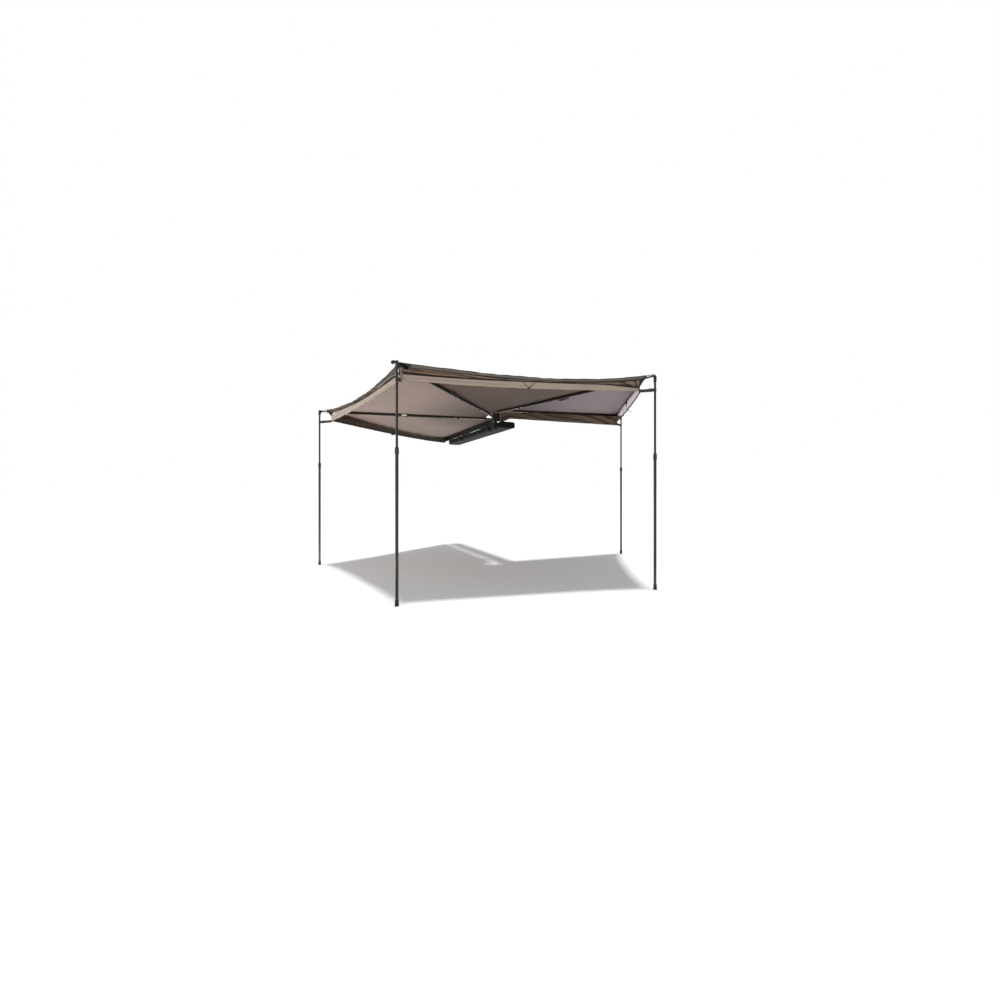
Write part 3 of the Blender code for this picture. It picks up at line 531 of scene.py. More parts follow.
class Draft:
    """Numpy surfaces gathered into one mesh."""

    def __init__(self) -> None:
        """Start with nothing drawn."""
        self.points: list[Array] = []
        self.faces: list[list[int]] = []
        self.corner_uv: list[Array] = []
        self.slots: list[Array] = []
        self.count = 0

    def grid(self, points: Array, uv: Optional[Array] = None, wrap_u: bool = False, wrap_v: bool = False,
             slot: "int | Array" = 0, keep: Optional[Array] = None) -> "Draft":
        """Add a surface given on a grid.

        Args:
            points: places of shape (rows, columns, 3).
            uv: map coordinates of shape (rows, columns, 2), one more along a wrapped axis.
            wrap_u: whether the last column joins the first.
            wrap_v: whether the last row joins the first.
            slot: the material slot, for all faces or one for each row of faces.
            keep: which faces are made, of shape (rows of faces, columns of faces).

        Returns:
            This draft.
        """
        rows, columns = points.shape[:2]
        v, u = np.meshgrid(np.arange(rows - (not wrap_v)), np.arange(columns - (not wrap_u)), indexing="ij")
        v_next, u_next = (v + 1) % rows, (u + 1) % columns
        quads = np.stack([v * columns + u, v * columns + u_next, v_next * columns + u_next, v_next * columns + u], -1)
        if uv is None:
            uv = np.stack(np.meshgrid(np.arange(columns + wrap_u), np.arange(rows + wrap_v)), -1) * 0.001
        corners = np.stack([uv[v, u], uv[v, u + 1], uv[v + 1, u + 1], uv[v + 1, u]], -2)
        chosen = np.ones(v.shape, bool) if keep is None else keep
        self.faces += (quads[chosen] + self.count).tolist()
        self.corner_uv.append(corners[chosen].reshape(-1, 2))
        self.slots.append(np.broadcast_to(np.reshape(slot, (-1, 1)), v.shape)[chosen].astype(np.int32))
        self.points.append(points.reshape(-1, 3))
        self.count += rows * columns
        return self

    def cap(self, first: int, number: int, reverse: bool) -> "Draft":
        """Close a ring of points that are already drawn with one face.

        Args:
            first: the ring's first point.
            number: how many points it has.
            reverse: whether the face runs the other way round.

        Returns:
            This draft.
        """
        ring = list(range(first, first + number))
        self.faces.append(ring[::-1] if reverse else ring)
        self.corner_uv.append(np.zeros((number, 2)))
        self.slots.append(np.zeros(1, np.int32))
        return self

    def bar(self, path: Array, outline: Array, up: Array, across: Optional[Array] = None,
            closed: bool = False) -> "Draft":
        """Add an outline carried along a path, with a face over each end unless the path is a loop.

        Args:
            path: its points, of shape (n, 3); a loop's last point repeats its first.
            outline: points of shape (m, 2), anticlockwise.
            up: the direction of the outline's second axis, for all points or for each.
            across: the map's U for each outline point and the first again; their distance round it if left out.
            closed: whether the path is a loop.

        Returns:
            This draft.
        """
        if across is None:
            across = arc_length(np.concatenate([outline, outline[:1]]))
        uv = np.stack(np.meshgrid(across, arc_length(path)), -1)
        if closed:
            ups = np.broadcast_to(up, path.shape)
            points = sweep(np.concatenate([path[-2:-1], path, path[1:2]]), outline,
                           np.concatenate([ups[-2:-1], ups, ups[1:2]]))[1:-2]
            return self.grid(points, uv, wrap_u=True, wrap_v=True)
        points = sweep(path, outline, up)
        start, columns = self.count, len(outline)
        self.grid(points, uv, wrap_u=True)
        self.cap(start, columns, True)
        return self.cap(start + (len(path) - 1) * columns, columns, False)

    def strap(self, path: Array, up: Array, width: float, thickness: float, closed: bool = False) -> "Draft":
        """Add flat webbing along a path; up is the way that its flat face looks."""
        outline = rounded_outline(width, thickness, thickness * 0.45, 2)
        return self.bar(path, outline, up, np.append(outline[:, 0], outline[0, 0]), closed)

    def tube(self, path: Array, radius: float, up: Array, sides: int = 10, closed: bool = False) -> "Draft":
        """Add a round cord or rod along a path."""
        across = np.linspace(-math.pi * radius, math.pi * radius, sides + 1)
        return self.bar(path, circle(radius, sides), up, across, closed)

    def turned(self, profile: Sequence[Sequence[float]], origin: Array, axis: Array, sides: int = 36, lobes: int = 0,
               depth: "float | Sequence[float]" = 0.0) -> "Draft":
        """Add a profile turned about an axis; its radius may swell in lobes.

        The radius at angle a is the profile's own plus depth * cos(lobes * a). A profile that starts and ends on
        the axis, or in one point, is closed by merging the points there.

        Args:
            profile: radius and distance along the axis, of shape (n, 2).
            origin: a point on the axis.
            axis: the axis's direction.
            sides: how many segments go round.
            lobes: how many lobes go round.
            depth: how far they swell, for all points of the profile or for each.

        Returns:
            This draft.
        """
        profile = np.asarray(profile, float)
        axis = unit(np.asarray(axis, float))
        helper = np.array([1.0, 0.0, 0.0]) if abs(axis[0]) < 0.9 else np.array([0.0, 1.0, 0.0])
        first = unit(np.cross(axis, helper))
        angle = np.arange(sides) * 2 * math.pi / sides
        swell = np.broadcast_to(depth, (len(profile),))[:, None] * np.cos(lobes * angle)
        radius = np.maximum(profile[:, :1] + swell * (profile[:, :1] > 0), 0.0)
        ring = np.cos(angle)[:, None] * first + np.sin(angle)[:, None] * np.cross(axis, first)
        points = origin + radius[..., None] * ring + profile[:, 1][:, None, None] * axis
        girth = 2 * math.pi * float(profile[:, 0].max())
        uv = np.stack(np.meshgrid(np.linspace(0, girth, sides + 1), arc_length(profile)), -1)
        return self.grid(points, uv, wrap_u=True)

    def pebble(self, centre: Array, sizes: Sequence[float], axes: Array, squareness: float = 0.40) -> "Draft":
        """Add a rounded block: a superellipsoid, |x|^(2/e) + |y|^(2/e) + |z|^(2/e) = 1 with e the squareness.

        Args:
            centre: its middle.
            sizes: its full sizes along the three axes.
            axes: the axes as rows.
            squareness: from near 0, a box, to 1, an ellipsoid.

        Returns:
            This draft.
        """
        north = np.linspace(-math.pi / 2, math.pi / 2, 13)[:, None]
        east = np.linspace(-math.pi, math.pi, 25)[None, :-1]
        parts = [np.cos(north), np.sin(north), np.cos(east), np.sin(east)]
        rise, height, x, y = [np.sign(part) * np.abs(part) ** squareness for part in parts]
        local = np.stack([rise * x, rise * y, height * np.ones_like(east)], -1) * np.asarray(sizes) / 2
        return self.grid(centre + local @ np.asarray(axes, float), wrap_u=True)

    def make(self, name: str, finishes: "Finish | Sequence[Finish]", closed: bool = True) -> Item:
        """Turn the draft into a smooth object.

        Args:
            name: the piece's name.
            finishes: one finish for each material slot.
            closed: whether doubles are merged and the faces turned outwards.

        Returns:
            The new object, linked to the scene.
        """
        finishes = [finishes] if isinstance(finishes, Finish) else list(finishes)
        mesh = bpy.data.meshes.new(name)
        mesh.from_pydata(np.concatenate(self.points).tolist(), [], self.faces)
        layer = mesh.uv_layers.new(name="UVMap")
        layer.data.foreach_set("uv", np.concatenate(self.corner_uv).astype(np.float32).ravel())
        mesh.polygons.foreach_set("material_index", np.concatenate(self.slots))
        if closed:
            tidy(mesh, 1e-6)
        mesh.shade_smooth()
        mesh.set_sharp_from_angle(angle=math.radians(38))
        for finish in finishes:
            mesh.materials.append(finish.build())
        item = link(name, mesh)
        return item


def tidy(mesh: bpy.types.Mesh, distance: float, flatten: bool = False) -> None:
    """Merge a mesh's doubles and turn its faces outwards.

    Args:
        mesh: the mesh.
        distance: how near two points are to be one.
        flatten: whether coplanar triangles are joined into one face.
    """
    work = bmesh.new()
    work.from_mesh(mesh)
    bmesh.ops.remove_doubles(work, verts=work.verts, dist=distance)
    bmesh.ops.dissolve_degenerate(work, edges=work.edges, dist=1e-7)
    if flatten:
        bmesh.ops.dissolve_limit(work, angle_limit=math.radians(1.0), verts=work.verts, edges=work.edges)
    bmesh.ops.recalc_face_normals(work, faces=work.faces)
    work.to_mesh(mesh)
    work.free()


def settle(item: Item, body: str, *nodes: str) -> Item:
    """Let a finished piece ride on a body and stand for CAD nodes.

    Args:
        item: the piece.
        body: the body's name.
        nodes: the nodes that it replaces.

    Returns:
        The same piece.
    """
    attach(item, body)
    if nodes:
        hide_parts(*nodes)
    LOG.info("%s rides on %s", item.name, body)
    return item


def link(name: str, data: bpy.types.ID) -> Item:
    """Add an object to the scene."""
    item = bpy.data.objects.new(name, data)
    bpy.context.scene.collection.objects.link(item)
    return item


def mark(item: Item, depth: Array) -> None:
    """Write how deep in a crease each of a sheet's points lies, for the painted shade that its finish lays in the
    folds.
    """
    layer = item.data.attributes.new("crease", "FLOAT", "POINT")
    layer.data.foreach_set("value", np.ravel(depth).astype(np.float32))


def round_edges(item: Item, width: float) -> Item:
    """Round a piece's sharp edges with a live bevel."""
    bevel = item.modifiers.new("rounded_edges", "BEVEL")
    bevel.width = width
    bevel.segments = 2
    bevel.limit_method = "ANGLE"
    bevel.angle_limit = math.radians(40)
    bevel.harden_normals = True
    return item


def thicken(item: Item, thickness: float = CLOTH, offset: float = 0.0) -> Item:
    """Give a sheet its thickness, half on each side unless an offset is given."""
    wall = item.modifiers.new("cloth", "SOLIDIFY")
    wall.thickness = thickness
    wall.offset = offset
    return item


def softened(node: str, body: str, finish: Finish, width: float) -> Item:
    """Stand a copy of a CAD node, with its edges rounded, in the node's place.

    Args:
        node: the CAD node.
        body: the body that carries it.
        finish: its finish.
        width: how wide the rounding is.

    Returns:
        The new piece.
    """
    mesh = frame["nodes"][node].data.copy()
    tidy(mesh, 2e-5, flatten=True)
    mesh.materials.clear()
    mesh.materials.append(finish.build())
    mesh.shade_smooth()
    mesh.set_sharp_from_angle(angle=math.radians(30))
    item = link(node + "_shown", mesh)
    return settle(round_edges(item, width), body, node)


# The fan -------------------------------------------------------------------------------------------------------


@dataclass(frozen=True)
class Fan:
    """Where the hub, the rafters and the leg pivots stand."""

    hub: tuple[float, float] = (-0.070, -0.340)
    ground: float = -1.625
    step: float = 67.5
    root_a: float = 0.108
    pitch: float = 0.035
    slope: float = 0.041
    pivot_a: float = 2.0525
    pivot_step: float = 0.035
    leg_lateral: float = 0.026
    tip_reach: float = 0.0891
    rise: float = 0.0165

    def azimuth(self, index: int) -> float:
        """The direction of rafter 1 to 4, or of the rail for 0, in radians."""
        return math.radians(90 + self.step * index)

    def root(self, index: int) -> float:
        """The height of a rafter's middle line at the hub axis."""
        return self.root_a + self.pitch * (index - 1)

    def reach(self, index: int) -> float:
        """The distance from the hub axis to a leg pivot."""
        return self.pivot_a - self.pivot_step * (index - 1)

    def pivot_height(self, index: int) -> float:
        """The height of a leg pivot."""
        return self.root(index) + self.slope * self.reach(index)

    def tube_end(self, index: int) -> float:
        """Where a rafter's tube ends, along its slope."""
        return self.reach(index) * math.hypot(1, self.slope) - self.tip_reach

    def axes(self, index: int) -> Array:
        """A rafter's outward, anticlockwise and upward directions, as rows."""
        angle = self.azimuth(index)
        return np.array([[math.cos(angle), math.sin(angle), 0.0], [-math.sin(angle), math.cos(angle), 0.0], UP])

    def slope_axes(self, index: int) -> Array:
        """A rafter's own directions: along its slope, anticlockwise, and square to both, as rows."""
        out, side, up = self.axes(index)
        along = unit(out + self.slope * up)
        return np.array([along, side, np.cross(along, side)])

    def point(self, index: int, radius: Number, lateral: Number,
              height: Number) -> Array:
        """Places beside a rafter's line.

        Args:
            index: the rafter, or 0 for the rail.
            radius: distance out from the hub axis.
            lateral: distance to the anticlockwise side.
            height: height in the part's frame.

        Returns:
            Points with a last axis of 3.
        """
        radius, lateral, height = spread(radius, lateral, height)
        out, side, _ = self.axes(index)
        flat = radius[..., None] * out[:2] + lateral[..., None] * side[:2] + np.array(self.hub)
        return np.concatenate([flat, height[..., None]], -1)

    def on_rafter(self, index: int, radius: Number, lateral: Number,
                  above: Number) -> Array:
        """Places measured from a rafter's own sloping middle line."""
        return self.point(index, radius, lateral, self.root(index) + self.slope * np.asarray(radius) + above)

    def from_pivot(self, index: int, out: Number, lateral: Number, up: Number) -> Array:
        """Places measured from a leg pivot."""
        return self.point(index, self.reach(index) + np.asarray(out), lateral,
                          self.pivot_height(index) + np.asarray(up))


FAN = Fan()


@dataclass
class Panel:
    """One canopy panel with its skirt, from one rafter (or the rail) to the next.

    The sheet is a surface of u, from the start edge (0) to the end edge (1), and v: 0 at the hub, 1 at the hem and
    2 at the skirt's lower edge.
    """

    start: int
    name: str
    columns: int = 170
    near: float = 0.090
    corner_gap: float = 0.072
    low_gaps: tuple[float, float] = (0.135, 0.135)
    rail_corner: float = 2.060
    rail_x: float = 0.0195
    rail_z: float = 0.130
    scallop: float = 0.050
    sag: float = 0.050
    skirt_drop: float = 0.113
    skirt_sag: float = 0.022
    rail_skirt_z: float = 0.040
    tapes: Stops = ((0.0, 0.024), (1.0, 0.024))
    bands: Stops = ((0.0, 0.046), (1.0, 0.046))
    pleat: float = 0.0
    fullness: float = 1.0
    skew: float = 0.0
    tape_shadows: Stops = ((0.0, 0.003), (1.0, 0.003))
    band_shadows: Stops = ((0.0, 0.002), (1.0, 0.002))
    cleats: tuple[float, ...] = ()
    free_end: Optional[tuple[float, float, float, float]] = None
    pulls: tuple[float, float] = (1.0, 1.0)
    tied: bool = True
    trim: Finish = HEM
    under: Finish = UNDER
    inside: Finish = SKIRT
    seam: float = 0.001
    clear: float = 0.0095
    notch: float = 0.056
    folded: tuple[float, float] = (-0.0105, -0.0150)

    def __post_init__(self) -> None:
        """Work out the sheet's corner points."""
        start, end = self.start, self.start + 1
        clear = self.seam if start == 0 else self.clear
        corner = self.rail_corner if start == 0 else FAN.reach(start) - self.corner_gap
        self.inner = (self.edge(start, self.near, self.seam), self.edge(end, self.near, -self.seam))
        self.far = (self.edge(start, corner, clear), self.edge(end, FAN.reach(end) - self.corner_gap, -self.clear))
        self.low = (self.low_corner(start, clear, self.low_gaps[0]),
                    self.low_corner(end, -self.clear, self.low_gaps[1]))
        inward = np.array([*FAN.hub, 0.0]) - (self.far[0] + self.far[1]) / 2
        inward[2] = 0.0
        self.inward = unit(inward)
        self.span = float(np.linalg.norm(self.far[1] - self.far[0]))

    @property
    def bodies(self) -> tuple[str, str]:
        """The two bodies that the panel joins."""
        first = "base" if self.start == 0 else f"rafter_{Side(self.start).letter}"
        return first, f"rafter_{Side(self.start + 1).letter}"

    def edge(self, index: int, radius: float, lateral: float) -> Array:
        """A point of the seam over a rafter, or along the rail."""
        if index == 0:
            return np.array([FAN.hub[0] + self.rail_x - lateral, FAN.hub[1] + radius, self.rail_z])
        return FAN.on_rafter(index, radius, lateral, FAN.rise)

    def low_corner(self, index: int, lateral: float, gap: float) -> Array:
        """The skirt's lower corner below the end of a seam."""
        if index == 0:
            return np.array([FAN.hub[0] + self.rail_x - lateral, FAN.hub[1] + self.rail_corner, self.rail_skirt_z])
        return FAN.from_pivot(index, -gap, lateral, -self.skirt_drop)

    def tape(self, u: Array) -> Array:
        """How wide the hem tape is at u."""
        return stepped(u, self.tapes)

    def band(self, u: Array) -> Array:
        """How tall the skirt's pale band is at u."""
        return stepped(u, self.bands)

    def across(self, ends: tuple[Array, Array], u: Array) -> Array:
        """Go from one end to the other; height eases away level from both along 3u^2 - 2u^3."""
        flat = ends[0][:2] + (ends[1] - ends[0])[:2] * u[..., None]
        height = ends[0][2] + (ends[1] - ends[0])[2] * (3 * u ** 2 - 2 * u ** 3)
        return np.concatenate([flat, height[..., None]], -1)

    def hem(self, u: Array) -> Array:
        """The hem: drawn in to the hub by scallop * 4u(1-u), and sagging by sag * 4u(1-u) * (1 + skew * (u - 1/2))."""
        belly = 4 * u * (1 - u)
        place = self.across(self.far, u) + self.inward * (self.scallop * belly)[..., None]
        place[..., 2] -= self.sag * belly * (1 + self.skew * (u - 0.5))
        return place

    def foot(self, u: Array) -> Array:
        """The skirt's lower edge: almost straight, sagging by skirt_sag * 4u(1-u)."""
        place = self.across(self.low, u)
        place[..., 2] -= self.skirt_sag * 4 * u * (1 - u)
        return place

    def full(self, u: Array) -> Array:
        """How far the skirt drops at u."""
        return (self.hem(u) - self.foot(u))[..., 2]

    def parts(self, u: Array, full: Array, drop: Array) -> tuple[Array, Array]:
        """Split a share of the drop into the shares down to the band and down the band itself."""
        knee = 1 - self.band(u) / full
        return np.clip(drop / knee, 0, 1), np.clip((drop - knee) / (1 - knee), 0, 1)

    def below_hem(self, u: Array, distance: Number) -> Array:
        """The v that lies a distance below the hem, or above the lower edge if the distance is negative."""
        distance = np.asarray(distance, float) + 0 * u
        return np.where(distance >= 0, 1 + distance / self.full(u), 2 + distance / self.full(u))

    def surface(self, u: Array, v: Array) -> Array:
        """Places on the sheet.

        Above the hem a point goes straight from the near line to the hem, and sags by sag * 4u(1-u) * v^1.3. Below
        it the cloth slopes to a shoulder, and the band below the shoulder hangs upright. Folds are sums of sines of
        the share of the drop and of u, and fade at the hem and at the seams.

        Args:
            u: shares across, of any shape.
            v: places along, of the same shape.

        Returns:
            Points with a last axis of 3.
        """
        u, v = spread(u, v)
        drop = np.clip(v - 1, 0, 1)
        if self.start:
            # the leg folds up past this edge, so the skirt is cut back round it just below the hem
            u = u + (1 - u) * self.notch / self.span * smooth(0.0, 0.05, drop) * (1 - smooth(0.28, 0.42, drop))
        belly = 4 * u * (1 - u)
        along = np.clip(v, 0, 1)
        hem = self.hem(u)
        inner = self.across(self.inner, u)
        top = inner + (hem - inner) * along[..., None]
        hang = self.sag * belly * (1 + self.skew * (u - 0.5))
        top[..., 2] += hang * along * (1 - along ** 0.3) + self.ripples(u, along) * belly ** 0.5

        foot = self.foot(u)
        full = (hem - foot)[..., 2]
        shoulder = foot.copy()
        shoulder[..., 2] += self.band(u)
        upper, lower = self.parts(u, full, drop)
        skirt = hem + (shoulder - hem) * upper[..., None] + (foot - shoulder) * lower[..., None]
        skirt -= self.inward * self.folds(u, full, upper, lower)[..., None]
        return np.where((v <= 1)[..., None], top, skirt)

    def ripples(self, u: Array, along: Array) -> Array:
        """Slack in the panel: long pulls that run out from the hub, and short puckers near the hem."""
        pulls = 0.0016 * np.sin(2 * math.pi * (4 * u + 0.21 * self.start)) * along
        puckers = 0.0013 * np.sin(2 * math.pi * (13.5 * u + 0.4 * np.sin(9 * u + self.start))) * along ** 9
        billow = 0.0040 * np.sin(math.pi * 2.2 * along + 2.1 * self.start) * np.sin(math.pi * 2 * u)
        return pulls + puckers + billow * (1 - along ** 6)

    def folds(self, u: Array, full: Array, upper: Array, lower: Array) -> Array:
        """How far the skirt stands out from its plain form.

        Each fold is a bulge |sin(pi x)|^0.8, so it is round outside and creased inside. Long folds run along the
        cloth between the tape and the band, 24 mm apart. Near each end they give way to folds that fan out of the
        lower corner, where the strap pulls. The band below sways, and a pleat can run along it.

        Args:
            u: shares across.
            full: the skirt's whole drop.
            upper: the share of the way from the hem to the band.
            lower: the share of the way down the band.

        Returns:
            Distances outwards.
        """
        phase = 0.7 * self.start
        plain = np.maximum(full - self.band(u), 0.02)
        below = np.clip(upper * plain - self.tape(u), 0.0, None)
        zone = np.maximum(plain - self.tape(u), 0.005)
        share = below / zone
        fade = smooth(0.0, 0.10, share) * (1 - smooth(0.90, 1.0, share)) * smooth(0.0, 0.010, u) * smooth(1.0, 0.990, u)
        wander = 0.45 * np.sin(2.7 * math.pi * u + phase) + 0.20 * np.sin(7.1 * math.pi * u + 2 * phase)
        runs = np.abs(np.sin(math.pi * (below / 0.024 + wander + 0.6 * u))) ** 0.8 - 0.6
        tuck = smooth(0.50, 0.84, share) * (1 - smooth(0.93, 1.0, share))
        tuck = tuck + 0.6 * smooth(0.0, 0.04, share) * (1 - smooth(0.10, 0.26, share))
        crumple = np.sin(2 * math.pi * (11 * u + 1.3 * share + phase)) * np.sin(2 * math.pi * (6.5 * u - 1.6 * share))
        away = np.minimum(u, 1 - u) * self.span
        rise = plain * (1 - upper) + self.band(u) * (1 - lower)
        angle = np.arctan2(rise, away + 0.030) / (math.pi / 2)
        rays = np.abs(np.sin(math.pi * (4.5 * angle + 0.35 + 0.5 * phase))) ** 0.8 - 0.6
        pull = (1 - smooth(0.16, 0.48, away)) * smooth(0.0, 0.02, away) * np.where(u < 0.5, *self.pulls)
        sway = 0.0030 * np.sin(2 * math.pi * (6.5 * u + phase)) + 0.0016 * np.sin(2 * math.pi * (15 * u + 2 * phase))
        line = np.exp(-((lower - 0.44 + 0.10 * np.sin(9 * u)) / 0.10) ** 2) * smooth(0.02, 0.06, u)
        long = self.fullness * (0.0110 * runs * (1 - pull) + 0.0120 * rays * pull + 0.0018 * crumple - 0.0090 * tuck)
        loose = self.fullness * sway * lower * 4 * u * (1 - u)
        return long * fade + loose - self.pleat * line * (1 - smooth(0.30, 0.62, u))

    def crease(self, u: Array, v: Array) -> Array:
        """How deep each place lies in the skirt's folds, for their painted shade: 0 on a ridge and 1 in a crease; on
        the first panel the painted shade also deepens towards the lower edge.
        """
        full, drop = self.full(u), np.clip(v - 1, 0, 1)
        upper, lower = self.parts(u, full, drop)
        depth = smooth(0.0020, -0.0065, self.folds(u, full, upper, lower) / self.fullness)
        return depth if self.start else np.maximum(0.5 * depth, drop ** 1.3)

    def normal(self, u: Array, v: Array) -> Array:
        """The sheet's outward and upward direction."""
        step = 1e-3
        du = self.surface(np.minimum(u + step, 1), v) - self.surface(np.maximum(u - step, 0), v)
        dv = self.surface(u, np.clip(v + step, 0, 2)) - self.surface(u, np.clip(v - step, 0, 2))
        return unit(np.cross(dv, du))

    def lifted(self, u: Array, v: Array, height: Number) -> Array:
        """Places off the sheet, positive on the outer and upper side."""
        return self.surface(u, v) + self.normal(u, v) * np.asarray(height)[..., None]

    def weights(self, u: Array, v: Array) -> Array:
        """How far each place turns with the end rafter, so that the folded sheet lies beside the rafters.

        A place at an angle from the start rafter has to end where its sideways distance is the folded one, so it
        turns by the difference, as a share of a full step.
        """
        place = self.surface(u, v)
        flat = place[..., :2] - np.array(FAN.hub)
        radius = np.linalg.norm(flat, axis=-1)
        angle = np.arctan2(flat[..., 1], flat[..., 0]) - FAN.azimuth(self.start)
        angle = (angle + math.pi) % (2 * math.pi) - math.pi
        u = np.broadcast_to(np.asarray(u, float), radius.shape)
        step = math.radians(FAN.step)
        resting = np.where(u < 0.5, angle * radius, (angle - step) * radius)
        wanted = self.folded[0] + (self.folded[1] - self.folded[0]) * u
        inside = np.where(u < 0.5, smooth(0.0, 0.05, u), smooth(1.0, 0.95, u))
        lateral = resting * (1 - inside) + wanted * inside
        return np.clip((angle - lateral / np.maximum(radius, 0.02)) / step, 0.0, 1.0)

    def attach(self, item: Item, weights: Array) -> Item:
        """Bake a piece's place into its mesh; it is left unattached to the panel's two bodies.

        Args:
            item: the finished piece.
            weights: one for each of its points; not used.

        Returns:
            The same piece.
        """
        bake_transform(item)
        return item

    def pin(self, item: Item, weight: Array) -> Item:
        """Bake a small piece's place into its mesh, as attach does."""
        return self.attach(item, np.full(len(item.data.vertices), float(weight)))

    def metres(self, u: Array, v: Array) -> Array:
        """Map coordinates in metres: across, and down from the first row."""
        place = self.surface(u, v)
        across = np.cumsum(np.linalg.norm(np.diff(place, axis=1, prepend=place[:, :1]), axis=-1), axis=1)
        down = np.cumsum(np.linalg.norm(np.diff(place, axis=0, prepend=place[:1]), axis=-1), axis=0)
        return np.stack([across, down], -1)

    def shares(self) -> Array:
        """Shares across, closer together near both seams."""
        share = np.linspace(0, 1, self.columns + 1)
        return 0.7 * share + 0.3 * (0.5 - 0.5 * np.cos(math.pi * share))

    def rows(self, u: Array, first: Number, last: Number, count: int) -> tuple[Array, Array]:
        """A grid between two distances below the hem, each for all u or for each."""
        top, bottom = self.below_hem(u, first), self.below_hem(u, last)
        share = np.linspace(0, 1, count)[:, None]
        return np.broadcast_arrays(u[None, :], top + (bottom - top) * share)

    def build(self) -> None:
        """Make the sheet with its tape, band, seams, bindings, patches and tie cord."""
        u = self.shares()
        cloth_u, cloth_v = np.meshgrid(u, np.linspace(0, 1, 61))
        tape = self.rows(u, 0.0, self.tape(u), 7)
        brown = self.rows(u, self.tape(u), -self.band(u), 25)
        band = self.rows(u, -self.band(u), -1e-9, 15)
        grid_u = np.concatenate([cloth_u, tape[0][1:], brown[0][1:], band[0][1:]])
        grid_v = np.concatenate([cloth_v, tape[1][1:], brown[1][1:], band[1][1:]])
        slots = (np.arange(len(grid_v) - 1) >= 60).astype(int)
        place = self.surface(grid_u, grid_v)
        draft = Draft().grid(place[:, ::-1], self.metres(grid_u, grid_v)[:, ::-1], slot=slots)
        sheet = thicken(draft.make(f"{self.name}_cloth", (CANVAS, SKIRT, self.under, self.inside), closed=False))
        sheet.modifiers["cloth"].material_offset = 2
        # painted shade: the skirt's finishes darken the cloth by how deep it lies in its folds
        mark(sheet, self.crease(grid_u, grid_v)[:, ::-1])
        self.attach(sheet, self.weights(grid_u, grid_v)[:, ::-1])
        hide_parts(self.name)

        trim = [self.strip("hem_tape", tape, 0.0013, self.trim), self.strip("pale_band", band, 0.0013, BAND)]
        trim.append(self.follow("hem_piping", u, np.ones_like(u), 0.0010, 0.0030, BINDING))
        # painted shadow: dark binding strips below the hem tape and above the band, a thin seam widened where the cloth
        # hangs in shade
        tape_shadow, band_shadow = stepped(u, self.tape_shadows), stepped(u, self.band_shadows)
        tape_shadow_rows = self.rows(u, self.tape(u) - 0.001, self.tape(u) + tape_shadow, 4)
        band_shadow_rows = self.rows(u, -self.band(u) - band_shadow, 0.001 - self.band(u), 4)
        trim.append(self.strip("painted_tape_shadow", tape_shadow_rows, 0.0022, BINDING))
        trim.append(self.strip("painted_band_shadow", band_shadow_rows, 0.0022, BINDING))
        if not self.tied:
            part = np.linspace(0.72, 0.97, 60)
            middle = np.interp(part, u, self.tape(u) + 0.5 * tape_shadow)
            trim.append(self.follow("pale_cord", part, self.below_hem(part, middle), 0.0045, 0.0028, BAND))
        if self.inside is BACKLIT_LINING:
            trim.append(self.follow("foot_seam", u, self.below_hem(u, -0.0010), 0.0060, 0.0070, BINDING))
            trim.append(self.follow("hem_inside", u, self.below_hem(u, 0.004), -0.0060, 0.0065, BINDING))
            trim.append(self.inner_patch())
        else:
            trim.append(self.follow("foot_seam", u, self.below_hem(u, -0.0010), 0.0, 0.0019, SKIRT))
        trim.append(self.follow("hub_binding", u, np.full_like(u, 0.002), 0.0, 0.0028, BINDING))
        down = np.linspace(1.0, 2.0, 60)
        for end, label in ((0.0, "start_binding"), (1.0, "end_binding")):
            trim.append(self.follow(label, np.full_like(down, end), down, 0.0, 0.0024, BINDING))
            trim.append(self.skirt_patch(end))
            trim.append(self.corner_patch(end))
        trim += [self.cleat(place) for place in self.cleats]
        if self.tied:
            self.tie_cord()
        if self.free_end:
            self.loose_end(*self.free_end)

    def strip(self, label: str, rows: tuple[Array, Array], height: float, finish: Finish) -> Item:
        """Sew a strip of cloth on the sheet's outer face over a grid of u and v."""
        u, v = rows
        draft = Draft().grid(self.lifted(u, v, height)[:, ::-1], self.metres(u, v)[:, ::-1])
        item = thicken(draft.make(f"{self.name}_{label}", finish, closed=False))
        return self.attach(item, self.weights(u, v)[:, ::-1])

    def follow(self, label: str, u: Array, v: Array, height: float, radius: float,
               finish: Finish) -> Item:
        """Lay a round seam or binding along a line of u and v on the sheet."""
        item = Draft().tube(self.lifted(u, v, height), radius, self.normal(u, v), 8).make(
            f"{self.name}_{label}", finish, closed=False)
        return self.attach(item, np.repeat(self.weights(u, v), 8))

    def skirt_patch(self, end: float) -> Item:
        """Sew a three-sided patch along the skirt's side edge, widest at its top at the start and lower at the end."""
        first, last, width, peak = (0.001, 0.040, 0.034, 0.02) if end == 0 else (0.022, 0.108, 0.028, 0.25)
        down = np.linspace(0, 1, 12)[:, None]
        out = np.linspace(0, 1, 9)[None, :]
        share = width / self.span * out * np.maximum(np.minimum(down / peak, (1 - down) / (1 - peak)), 0.03)
        u = share if end == 0 else 1 - share[:, ::-1]
        v = self.below_hem(u, first + (last - first) * down)
        return self.strip(f"skirt_patch_{end:.0f}", (u, v), 0.0026, BINDING)

    def inner_patch(self) -> Item:
        """Sew a three-sided patch inside the skirt's last corner, widest at the lower edge."""
        down = np.linspace(0, 1, 24)[:, None]
        u = 1 - (0.004 + 0.75 * down * np.linspace(1, 0, 40)[None, :]) / self.span
        v = 1.03 + 0.96 * down + 0 * u
        return self.strip("inner_patch", (u, v), -0.0030, RUSSET)

